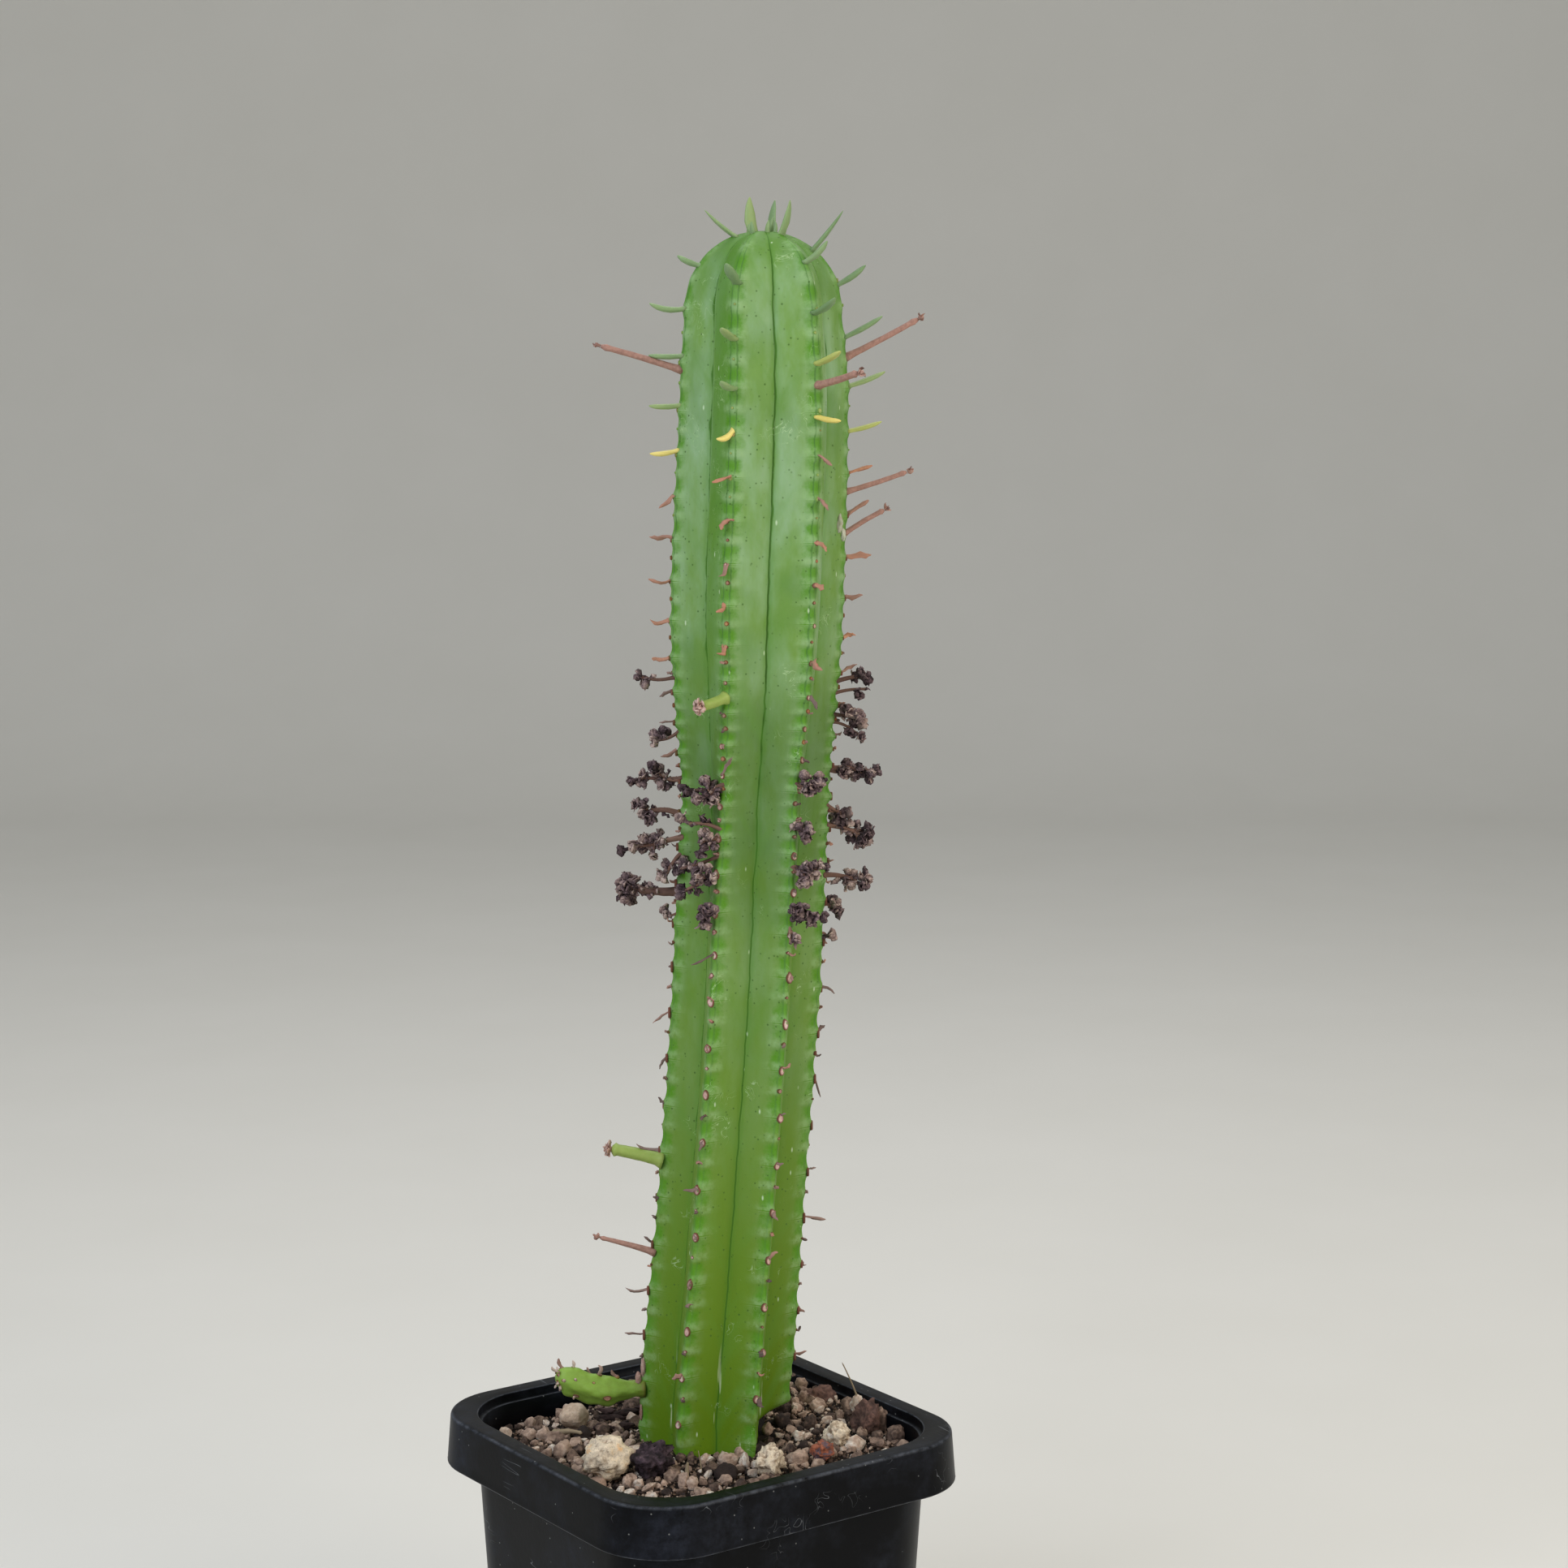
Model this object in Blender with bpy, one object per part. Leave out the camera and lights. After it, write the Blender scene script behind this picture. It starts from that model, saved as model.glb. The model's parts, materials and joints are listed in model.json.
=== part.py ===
"""Potted euphorbia: a six-ribbed succulent stem with leaves, flower stalks and dried flower
clusters, standing in gritty potting mix in a square nursery pot.

Units are metres in the scene. The sizes below are in millimetres and are scaled by MM.
The origin is the middle of the pot's base, +Z is up, and the pot's sides lie along X and Y.
"""

import math

import bmesh
import bpy
from mathutils import Matrix, Vector, noise

MM = 0.001
GAP = 0.35  # clearance between neighbouring pieces

# Pot: a square tapered pot with a hanging rim band
POT_HEIGHT = 65.0
RIM_HALF = 35.0
RIM_CORNER = 12.8
RIM_ROUND = 0.8
BAND_DROP = 8.8
BAND_FLARE = 0.65
BAND_WALL = 1.1
FLANGE_THICKNESS = 1.5
BODY_HALF = 31.9
BODY_CORNER = 13.0
BASE_HALF = 28.6
BASE_CORNER = 12.0
WALL = 1.2
FLOOR = 1.3
FOOT_ROUND = 1.2
LEDGE_WIDTH = 0.8
LEDGE_DROP = 1.6
FILLET = 0.12  # small slope at the ledge and under the flange
DRAIN_RADIUS = 3.6
DRAIN_OFFSET = 16.5

# Potting mix
MIX_DROP = 5.3  # from the rim's top down to the mix
MIX_WAVE = 0.4
MIX_WAVE_PER_MM = 0.2
SOCKET_RINGS = (-MIX_DROP, -10.0, -15.5, -22.0)  # below the rim; the last one closes the socket

# The plant's front, where its two foremost ribs are, faces a corner of the pot.
PLANT_TURN = math.radians(-34.4)
STEM_BACK = 2.5

# Stem axis and ribs: height above the rim, sideways place of the axis, radius at the crests
STEM_PROFILE = (
    (-20.0, 2.6, 7.0),
    (-16.0, 2.6, 11.2),
    (-8.0, 2.6, 13.1),
    (0.0, 2.6, 13.4),
    (14.0, 3.7, 13.6),
    (30.0, 5.0, 13.3),
    (71.0, 8.0, 13.2),
    (92.0, 9.1, 13.2),
    (106.0, 9.8, 13.1),
    (113.0, 10.0, 13.2),
    (127.0, 10.1, 14.5),
    (141.0, 10.3, 15.2),
    (175.0, 11.5, 14.8),
    (185.0, 11.5, 14.3),
    (191.0, 11.4, 13.3),
    (197.0, 11.4, 11.3),
    (201.0, 11.5, 8.8),
    (203.4, 11.6, 5.5),
)
STEM_TOP = 204.3
TIP_SHARE = 0.3  # the flat growing tip's size, against the ring below it
BURIED_RINGS = (-20.0, -18.0, -15.0, -10.0, -5.0, -1.0)
DOME_RINGS = (201.0, 203.4)
RIBS = 6
RIB_STEP = 2 * math.pi / RIBS
FRONT_RIB = math.radians(-28.0)  # first rib, measured from the plant's front towards its right
TWIST = math.radians(6.0)  # extra turn of the ribs above the waist
TWIST_SPAN = (108.0, 132.0)
VALLEY = 0.64  # groove radius over crest radius
CREST_FALL = 0.25  # how far the crest's rounded edge lies inside the sharp one
TUBERCLE = 0.4
RIB_POINTS = (0.0, 13.0, 25.5, 30.0, 34.5, 47.0)  # degrees from one groove on

# Distance from one leaf scar to the next on a rib, against height above the rim
SCAR_PITCH = ((0.0, 8.2), (75.0, 8.0), (95.0, 6.6), (112.0, 5.3), (124.0, 5.5), (145.0, 7.0),
              (174.0, 7.3), (188.0, 9.2), (204.0, 10.6))

# Leaves: rib, height above the rim, length, rise in degrees
LEAVES = {
    "right": (2, ((171.1, 5.2, 17), (178.7, 5.8, 22), (186.9, 6.4, 30), (195.4, 5.8, 33))),
    "left": (5, ((168.4, 3.8, -10), (176.0, 4.3, -8), (184.1, 4.7, -4), (191.6, 5.4, 7),
                 (198.6, 4.0, 22))),
    "front_left": (0, ((178.6, 4.8, 12), (186.4, 5.2, 20), (195.5, 5.4, 32))),
    "front_right": (1, ((173.4, 4.6, 12), (182.6, 5.0, 18), (190.6, 5.2, 28))),
    "back_right": (3, ((179.6, 5.0, 15), (187.8, 5.4, 22), (196.4, 5.2, 34))),
    "back_left": (4, ((175.0, 4.8, 10), (183.4, 5.0, 18), (192.0, 5.4, 27))),
}
LEAF_WIDTH = 1.9
LEAF_THICKNESS = 1.0
# Crown leaves: turn from the plant's front, distance from the axis, height, length, rise
CROWN_LEAVES = (
    (-82.0, 5.0, 203.4, 5.6, 40.0),
    (-150.0, 3.6, 204.7, 4.6, 78.0),
    (155.0, 3.4, 204.7, 4.0, 80.0),
    (50.0, 3.9, 204.6, 4.0, 72.0),
    (88.0, 8.9, 202.2, 5.8, 52.0),
)

# Flower stalks: rib, height, swing towards the plant's right, length, rise, radius at the foot
# and at the tip. Swing and rise are in degrees here and below.
PEDUNCLES = {
    "peduncle_left_top": (5, 180.7, 0, 13.2, 20, 0.7, 0.7),
    "peduncle_right_top": (2, 183.4, 0, 13.0, 29, 0.75, 0.7),
    "peduncle_front_right": (1, 178.8, 6, 8.2, 15, 0.65, 0.6),
    "peduncle_right_upper": (2, 160.8, 0, 10.0, 19, 0.7, 0.65),
    "peduncle_right_lower": (2, 153.7, 0, 7.0, 34, 0.65, 0.6),
    "peduncle_front_stub": (0, 126.6, -34, 4.2, -3, 0.9, 0.85),
    "peduncle_left_green": (5, 45.1, 0, 7.2, 20, 1.25, 0.95),
    "peduncle_left_dry": (5, 28.9, 0, 8.8, 21, 0.7, 0.4),
}

# Dried flower clusters: rib, height, swing, length, rise, head radius
CLUSTERS = {
    "dried_cluster_left_1": (5, 130.0, 0, 6.6, -2, 1.6),
    "dried_cluster_left_2": (5, 112.3, 0, 7.2, 0, 1.9),
    "dried_cluster_left_3": (5, 101.0, -8, 8.0, -6, 2.0),
    "dried_cluster_left_4": (5, 92.6, 0, 7.2, 4, 1.9),
    "dried_cluster_front_left_1": (0, 104.6, -24, 5.6, -8, 1.9),
    "dried_cluster_front_left_2": (0, 94.8, -24, 5.8, -8, 1.9),
    "dried_cluster_front_right_1": (1, 112.2, 14, 5.4, -6, 1.8),
    "dried_cluster_front_right_2": (1, 98.2, 12, 5.2, -4, 1.8),
    "dried_cluster_front_right_3": (1, 91.2, 10, 5.4, -6, 1.9),
    "dried_cluster_right_1": (2, 128.2, 0, 7.0, 6, 1.5),
    "dried_cluster_right_2": (2, 121.4, 0, 6.6, -14, 1.7),
    "dried_cluster_right_3": (2, 113.8, 0, 8.0, -3, 1.8),
    "dried_cluster_right_4": (2, 103.2, 0, 7.4, -2, 2.0),
    "dried_cluster_right_5": (2, 95.0, 0, 7.2, -5, 1.9),
}

STALK_SHARES = (0.0, 0.35, 0.7, 0.94, 1.0)
CLUSTER_STALK = 0.5
CLUSTER_SHARES = (0.0, 0.3, 0.5, 0.72, 0.9, 1.0)

# Side shoot that grows out just over the mix: points right, back, height above the rim, and radius
OFFSET_POINTS = ((-11.3, 1.9, 4.9, 1.45), (-12.8, 1.8, 4.8, 1.65), (-14.6, 1.7, 4.8, 2.2),
                 (-16.3, 1.5, 4.8, 2.55), (-19.9, 1.2, 5.6, 2.5), (-22.8, 0.8, 7.0, 2.45),
                 (-24.2, 0.6, 7.3, 1.8), (-25.0, 0.5, 7.3, 0.8))

# Stones: place right and back of the pot's middle, width, depth, height, kind
STONE_ROUGHNESS = 0.16  # share of the size that the surface swells and sinks
STONE_LUMPS = 2.6
STONE_SEED_STEP = 7.3
STONES = {
    "stone_big_pumice": (-16.0, -15.6, 8.2, 7.6, 7.8, "pumice"),
    "stone_purple_lava": (-7.6, -14.8, 7.8, 6.2, 5.9, "lava"),
    "stone_oval_pebble": (-22.2, 10.3, 5.8, 4.6, 4.0, "pebble"),
    "stone_small_pumice": (13.0, -16.0, 5.4, 4.6, 4.2, "pumice"),
    "stone_red_lava": (21.3, -8.2, 4.0, 3.6, 3.2, "red_lava"),
    "stone_white_pumice": (24.6, -1.6, 5.0, 4.6, 4.6, "pumice"),
    "stone_tall_brown": (29.0, 5.0, 5.4, 4.6, 6.6, "brown"),
    "stone_brown_grit": (20.4, 17.6, 5.4, 4.4, 3.6, "brown"),
}

# Colour (sRGB hex) and roughness of each material
FINISHES = {
    "nursery_pot": ("1d1c1c", 0.45),
    "potting_mix": ("4b3a30", 0.95),
    "stem_skin": ("6f8a4b", 0.5),
    "offset_skin": ("a2b56b", 0.5),
    "leaf": ("7f9f54", 0.5),
    "peduncle": ("9a6f5a", 0.6),
    "green_peduncle": ("a5b877", 0.55),
    "dried_flower": ("3c2428", 0.85),
    "pumice": ("d8cdb8", 0.95),
    "lava": ("4b3a40", 0.95),
    "red_lava": ("8a4b38", 0.95),
    "pebble": ("c9a98c", 0.7),
    "brown": ("7a5b45", 0.9),
}
GREEN_PEDUNCLES = ("peduncle_front_stub", "peduncle_left_green")


def linear(channel):
    """One sRGB channel, 0 to 1, as linear light."""
    if channel <= 0.04045:
        return channel / 12.92
    return ((channel + 0.055) / 1.055) ** 2.4


def material(name):
    """The named finish as a Principled material, made once."""
    if name in bpy.data.materials:
        return bpy.data.materials[name]
    colour, roughness = FINISHES[name]
    made = bpy.data.materials.new(name)
    made.use_nodes = True
    shader = made.node_tree.nodes["Principled BSDF"]
    channels = [linear(int(colour[i:i + 2], 16) / 255) for i in (0, 2, 4)]
    shader.inputs["Base Color"].default_value = (*channels, 1.0)
    shader.inputs["Roughness"].default_value = roughness
    shader.inputs["Metallic"].default_value = 0.0
    return made


def mix_between(table, x, column=1):
    """Value of a table's column at x, in straight lines between its rows."""
    if x <= table[0][0]:
        return table[0][column]
    for low, high in zip(table, table[1:]):
        if x <= high[0]:
            t = (x - low[0]) / (high[0] - low[0])
            return low[column] + (high[column] - low[column]) * t
    return table[-1][column]


def from_plant(right, back, height):
    """A point given by the plant's own directions, in the pot's frame (mm)."""
    cos, sin = math.cos(PLANT_TURN), math.sin(PLANT_TURN)
    return Vector((right * cos - back * sin, right * sin + back * cos, POT_HEIGHT + height))


def outward(turn, rise=0.0):
    """Unit direction turned this far from the plant's front towards its right, and raised."""
    flat = from_plant(math.sin(turn), -math.cos(turn), -POT_HEIGHT)
    return Vector((flat.x * math.cos(rise), flat.y * math.cos(rise), math.sin(rise)))


def add_mesh(name, finish, bm, collection):
    """Turns a bmesh in millimetres into a smooth-shaded object."""
    bmesh.ops.scale(bm, vec=(MM, MM, MM), verts=bm.verts)
    bmesh.ops.recalc_face_normals(bm, faces=bm.faces)
    mesh = bpy.data.meshes.new(name)
    bm.to_mesh(mesh)
    bm.free()
    mesh.shade_smooth()
    mesh.set_sharp_from_angle(angle=math.radians(40))
    mesh.materials.append(material(finish))
    made = bpy.data.objects.new(name, mesh)
    collection.objects.link(made)
    return made


def loft(name, finish, rings, collection):
    """Closed solid through rings of equally many points, capped at both ends."""
    bm = bmesh.new()
    rows = [[bm.verts.new(point) for point in ring] for ring in rings]
    count = len(rows[0])
    for low, high in zip(rows, rows[1:]):
        for i in range(count):
            j = (i + 1) % count
            bm.faces.new((low[i], low[j], high[j], high[i]))
    bm.faces.new(rows[0])
    bm.faces.new(rows[-1])
    return add_mesh(name, finish, bm, collection)


def rounded_square(half, corner, height):
    """36 points round a square with rounded corners, from the middle of its +X side on."""
    points = []
    flat = half - corner
    for quarter in range(4):
        turn = Matrix.Rotation(quarter * math.pi / 2, 3, "Z")
        side = [Vector((half, 0, 0)), Vector((half, flat * 0.5, 0))]
        for step in range(7):
            angle = step * math.pi / 12
            side.append(Vector((flat + corner * math.cos(angle), flat + corner * math.sin(angle), 0)))
        for point in side:
            placed = turn @ point
            points.append(Vector((placed.x, placed.y, height)))
    return points


def stem_axis(height):
    return from_plant(mix_between(STEM_PROFILE, height, 1), STEM_BACK, height)


def rib_turn(rib, height):
    """Direction of a rib's crest, from the plant's front towards its right."""
    start, end = TWIST_SPAN
    t = min(max((height - start) / (end - start), 0.0), 1.0)
    return FRONT_RIB + rib * RIB_STEP + TWIST * t * t * (3 - 2 * t)


def crest_radius(height):
    return mix_between(STEM_PROFILE, height, 2)


def section_radius(crest, from_crest):
    """Radius of a ribbed section: straight flanks from a rounded crest down to the groove."""
    groove = VALLEY * crest
    half = RIB_STEP / 2
    away = abs(from_crest)
    sharp = crest * groove * math.sin(half)
    sharp /= crest * math.sin(away) + groove * math.sin(half - away)
    return min(sharp, crest - CREST_FALL * (1 - 4 * away))


def stem_ring(height, grow=0.0, bumped=-1):
    """Ribbed section at a height. Every second rib swells where bumped is 0 or 1."""
    ring = []
    centre = stem_axis(height)
    crest = crest_radius(height)
    for rib in range(RIBS):
        for degrees in RIB_POINTS:
            from_crest = math.radians(degrees - 30.0)
            radius = section_radius(crest, from_crest) + grow
            if bumped >= 0 and abs(degrees - 30.0) < 5:
                radius += TUBERCLE if (rib + bumped) % 2 else -TUBERCLE * 0.5
            # The ring starts at the groove before the third rib, which faces the pot's +X side.
            turn = rib_turn(rib + 3, height) + from_crest
            ring.append(centre + outward(turn) * radius)
    return ring


def scar_heights():
    """Heights of the leaf scars: whole steps on the even ribs and half steps on the odd ones."""
    heights = []
    height = 2.0
    while height < DOME_RINGS[0] - 3:
        heights.append(height)
        height += mix_between(SCAR_PITCH, height) / 2
    return heights


def build_stem(collection):
    rings = [stem_ring(height) for height in BURIED_RINGS]
    for index, height in enumerate(scar_heights()):
        rings.append(stem_ring(height, bumped=index % 2))
    rings += [stem_ring(height) for height in DOME_RINGS]
    tip = stem_axis(STEM_TOP)
    rings.append([tip.lerp(point, TIP_SHARE) for point in stem_ring(STEM_TOP)])
    return loft("ribbed_stem", "stem_skin", rings, collection)


def cut_holes(pot, cutters):
    """Round drainage holes through the pot's floor, near its corners."""
    for index in range(4):
        angle = math.pi / 4 + index * math.pi / 2
        bm = bmesh.new()
        bmesh.ops.create_cone(bm, cap_ends=True, segments=16, radius1=DRAIN_RADIUS,
                              radius2=DRAIN_RADIUS, depth=6 * FLOOR)
        reach = DRAIN_OFFSET * math.sqrt(2)
        bmesh.ops.translate(bm, verts=bm.verts, vec=(reach * math.cos(angle), reach * math.sin(angle), 0))
        cutter = add_mesh(f"drain_cutter_{index + 1}", "nursery_pot", bm, cutters)
        cutter.hide_render = True
        cutter.display_type = "WIRE"
        cut = pot.modifiers.new(f"drain_{index + 1}", "BOOLEAN")
        cut.operation = "DIFFERENCE"
        cut.solver = "EXACT"
        cut.object = cutter


def inner_half(height):
    """Half the width between the pot's inner walls, at a height above the table."""
    share = height / POT_HEIGHT
    return BASE_HALF + (BODY_HALF - BASE_HALF) * share - WALL


def inner_corner(height):
    share = height / POT_HEIGHT
    return BASE_CORNER + (BODY_CORNER - BASE_CORNER) * share - WALL


def build_pot(collection, cutters):
    top = POT_HEIGHT
    ledge = top - LEDGE_DROP
    under = top - FLANGE_THICKNESS
    hem = top - BAND_DROP
    flare = RIM_HALF + BAND_FLARE
    rings = [rounded_square(inner_half(FLOOR), inner_corner(FLOOR), FLOOR)]
    rings.append(rounded_square(inner_half(ledge), inner_corner(ledge), ledge))
    for height in (ledge + FILLET, top):
        half = inner_half(ledge) + LEDGE_WIDTH
        rings.append(rounded_square(half, inner_corner(ledge) + LEDGE_WIDTH, height))
    for degrees in (0, 30, 60, 90):
        angle = math.radians(degrees)
        out = RIM_HALF - RIM_ROUND * (1 - math.sin(angle))
        corner = RIM_CORNER - RIM_ROUND * (1 - math.sin(angle))
        rings.append(rounded_square(out, corner, top - RIM_ROUND * (1 - math.cos(angle))))
    rings.append(rounded_square(flare, RIM_CORNER + BAND_FLARE, hem))
    rings.append(rounded_square(flare - BAND_WALL, RIM_CORNER + BAND_FLARE - BAND_WALL, hem))
    rings.append(rounded_square(RIM_HALF - BAND_WALL, RIM_CORNER - BAND_WALL, under))
    rings.append(rounded_square(BODY_HALF, BODY_CORNER, under - FILLET))
    for degrees in (0, 30, 60, 90):
        angle = math.radians(degrees)
        inset = FOOT_ROUND * (1 - math.cos(angle))
        height = FOOT_ROUND * (1 - math.sin(angle))
        rings.append(rounded_square(BASE_HALF - inset, BASE_CORNER - inset, height))
    pot = loft("nursery_pot", "nursery_pot", rings, collection)
    cut_holes(pot, cutters)
    return pot


def build_mix(collection):
    """Block of potting mix that fills the pot, with a socket round the buried stem."""
    low = FLOOR + GAP
    high = POT_HEIGHT - MIX_DROP
    edge = rounded_square(inner_half(high) - GAP, inner_corner(high) - GAP, high)
    socket = stem_ring(-MIX_DROP, grow=GAP)
    rings = [rounded_square(inner_half(low) - GAP, inner_corner(low) - GAP, low), edge]
    for share in (0.25, 0.5, 0.75):
        ring = [outer.lerp(inner, share) for outer, inner in zip(edge, socket)]
        for point in ring:
            wave = math.sin(MIX_WAVE_PER_MM * point.x) * math.cos(MIX_WAVE_PER_MM * point.y)
            point.z += MIX_WAVE * wave
        rings.append(ring)
    rings += [stem_ring(height, grow=GAP) for height in SOCKET_RINGS]
    return loft("potting_mix", "potting_mix", rings, collection)


def spindle(name, finish, foot, direction, length, width, thickness, collection):
    """Leaf-like solid, pointed at both ends, from its foot along a direction."""
    bm = bmesh.new()
    bmesh.ops.create_uvsphere(bm, u_segments=6, v_segments=6, radius=0.5)
    side = direction.cross(Vector((0, 0, 1))).normalized()
    upper = side.cross(direction).normalized()
    for vert in bm.verts:
        along = vert.co.z + 0.5
        taper = 1.15 - 0.5 * along
        place = foot + direction * (length * along)
        place += side * (vert.co.x * width * taper)
        place += upper * (vert.co.y * thickness * taper)
        vert.co = place
    return add_mesh(name, finish, bm, collection)


def build_leaves(collection):
    for place, (rib, rows) in LEAVES.items():
        for index, (height, length, rise) in enumerate(rows):
            direction = outward(rib_turn(rib, height), math.radians(rise))
            foot = crest_foot(rib, height, direction)
            spindle(f"leaf_{place}_{index + 1}", "leaf", foot, direction, length,
                    LEAF_WIDTH, LEAF_THICKNESS, collection)
    for index, (turn, reach, height, length, rise) in enumerate(CROWN_LEAVES):
        way = math.radians(turn)
        foot = stem_axis(height) + outward(way) * reach
        foot.z = POT_HEIGHT + height
        spindle(f"leaf_crown_{index + 1}", "leaf", foot, outward(way, math.radians(rise)), length,
                LEAF_WIDTH, LEAF_THICKNESS, collection)


def crest_foot(rib, height, direction):
    """Where a piece leaves a rib's crest, with the clearance that keeps it off the stem."""
    reach = crest_radius(height) + TUBERCLE
    return stem_axis(height) + outward(rib_turn(rib, height)) * reach + direction * GAP


def tube(name, finish, points, radii, collection):
    """Round stalk through points, each with its own radius (mm)."""
    curve = bpy.data.curves.new(name, "CURVE")
    curve.dimensions = "3D"
    curve.bevel_depth = MM
    curve.bevel_resolution = 2
    curve.use_fill_caps = True
    spline = curve.splines.new("POLY")
    spline.points.add(len(points) - 1)
    for knot, point, radius in zip(spline.points, points, radii):
        knot.co = (*(point * MM), 1.0)
        knot.radius = radius
    curve.materials.append(material(finish))
    made = bpy.data.objects.new(name, curve)
    collection.objects.link(made)
    return made


def build_peduncles(collection):
    for name, (rib, height, swing, length, rise, foot_radius, tip_radius) in PEDUNCLES.items():
        way = rib_turn(rib, height) + math.radians(swing)
        direction = outward(way, math.radians(rise))
        foot = crest_foot(rib, height, direction) + direction * foot_radius
        points = [foot + direction * (length * share) for share in STALK_SHARES]
        slim = (foot_radius + tip_radius) / 2
        radii = (foot_radius, slim, tip_radius, tip_radius * 1.3, tip_radius * 0.7)
        finish = "green_peduncle" if name in GREEN_PEDUNCLES else "peduncle"
        tube(name, finish, points, radii, collection)


def build_clusters(collection):
    for name, (rib, height, swing, length, rise, head) in CLUSTERS.items():
        way = rib_turn(rib, height) + math.radians(swing)
        direction = outward(way, math.radians(rise))
        foot = crest_foot(rib, height, direction) + direction * CLUSTER_STALK
        points = [foot + direction * (length * share) for share in CLUSTER_SHARES]
        radii = (CLUSTER_STALK, CLUSTER_STALK, head * 0.85, head, head * 0.8, head * 0.3)
        tube(name, "dried_flower", points, radii, collection)


def build_offset(collection):
    points = [from_plant(right, back, height) for right, back, height, _ in OFFSET_POINTS]
    tube("basal_side_shoot", "offset_skin", points, [row[3] for row in OFFSET_POINTS], collection)


def build_stones(collection):
    """Rough stones that stand on the mix, each an icosphere pushed in and out by noise."""
    for index, (name, row) in enumerate(STONES.items()):
        right, back, width, depth, height, kind = row
        bm = bmesh.new()
        bmesh.ops.create_icosphere(bm, subdivisions=2, radius=0.5)
        for vert in bm.verts:
            shift = Vector((index * STONE_SEED_STEP, 0, 0))
            swell = noise.noise(vert.co * STONE_LUMPS + shift)
            vert.co *= 0.97 + STONE_ROUGHNESS * swell
            vert.co.x *= width
            vert.co.y *= depth
            vert.co.z *= height
        turn = Matrix.Rotation(PLANT_TURN, 3, "Z")
        bmesh.ops.rotate(bm, verts=bm.verts, matrix=turn)
        lowest = min(vert.co.z for vert in bm.verts)
        place = from_plant(right, back, -MIX_DROP + MIX_WAVE + GAP - lowest)
        bmesh.ops.translate(bm, verts=bm.verts, vec=place)
        add_mesh(name, kind, bm, collection)


def main():
    for old in list(bpy.data.objects):
        bpy.data.objects.remove(old, do_unlink=True)
    parts = bpy.data.collections.new("potted_euphorbia")
    cutters = bpy.data.collections.new("cutters")
    bpy.context.scene.collection.children.link(parts)
    bpy.context.scene.collection.children.link(cutters)
    build_pot(parts, cutters)
    build_mix(parts)
    build_stem(parts)
    build_offset(parts)
    build_leaves(parts)
    build_peduncles(parts)
    build_clusters(parts)
    build_stones(parts)


main()
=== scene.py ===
"""Looks of a potted euphorbia: a waxy six-ribbed stem with leaves, flower stalks and dried
flowers, in gritty mix in a dusty square nursery pot. Run as a script, it builds every piece."""

import json
import math
import random
from collections import namedtuple

import bmesh
import bpy
from bpy.props import FloatProperty, FloatVectorProperty, IntProperty, PointerProperty
from mathutils import Matrix, Vector, noise
from mathutils.bvhtree import BVHTree

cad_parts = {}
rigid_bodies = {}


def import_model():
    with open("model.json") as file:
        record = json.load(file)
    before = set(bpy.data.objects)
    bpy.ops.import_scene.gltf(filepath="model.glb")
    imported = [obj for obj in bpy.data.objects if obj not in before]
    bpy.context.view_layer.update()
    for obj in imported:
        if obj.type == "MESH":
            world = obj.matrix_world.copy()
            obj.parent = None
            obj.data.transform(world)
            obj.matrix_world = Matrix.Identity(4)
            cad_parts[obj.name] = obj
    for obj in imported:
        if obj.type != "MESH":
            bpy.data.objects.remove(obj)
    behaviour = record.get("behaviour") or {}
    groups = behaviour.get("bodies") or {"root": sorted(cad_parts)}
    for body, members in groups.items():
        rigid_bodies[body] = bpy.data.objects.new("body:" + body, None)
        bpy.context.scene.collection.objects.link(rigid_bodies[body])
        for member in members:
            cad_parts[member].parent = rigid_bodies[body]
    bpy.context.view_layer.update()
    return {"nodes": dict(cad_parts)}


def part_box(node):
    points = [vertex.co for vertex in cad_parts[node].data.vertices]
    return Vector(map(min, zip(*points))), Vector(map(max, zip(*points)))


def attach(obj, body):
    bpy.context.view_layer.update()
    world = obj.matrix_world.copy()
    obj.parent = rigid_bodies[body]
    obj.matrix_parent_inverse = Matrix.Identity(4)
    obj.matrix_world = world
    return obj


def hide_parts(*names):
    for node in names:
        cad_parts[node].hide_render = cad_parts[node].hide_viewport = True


bl_info = {
    "name": "Potted Euphorbia",
    "version": (1, 0, 0),
    "blender": (4, 5, 0),
    "location": "3D View > Sidebar > Euphorbia",
    "description": "Builds a potted euphorbia, piece by piece",
    "category": "Add Mesh",
}

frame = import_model()

MM = 0.001
RIM_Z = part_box("nursery_pot")[1].z

# The plant's front, where its two foremost ribs are, faces a corner of the pot.
PLANT_TURN = math.radians(-34.4)
STEM_BACK = 2.5 * MM
RIBS = 6
RIB_STEP = 2 * math.pi / RIBS
FRONT_RIB = math.radians(-28.0)
TWIST = math.radians(6.0)
TWIST_SPAN = (108.0, 132.0)
FRONT_LEFT, FRONT_RIGHT, RIGHT, BACK_RIGHT, BACK_LEFT, LEFT = range(RIBS)

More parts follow.
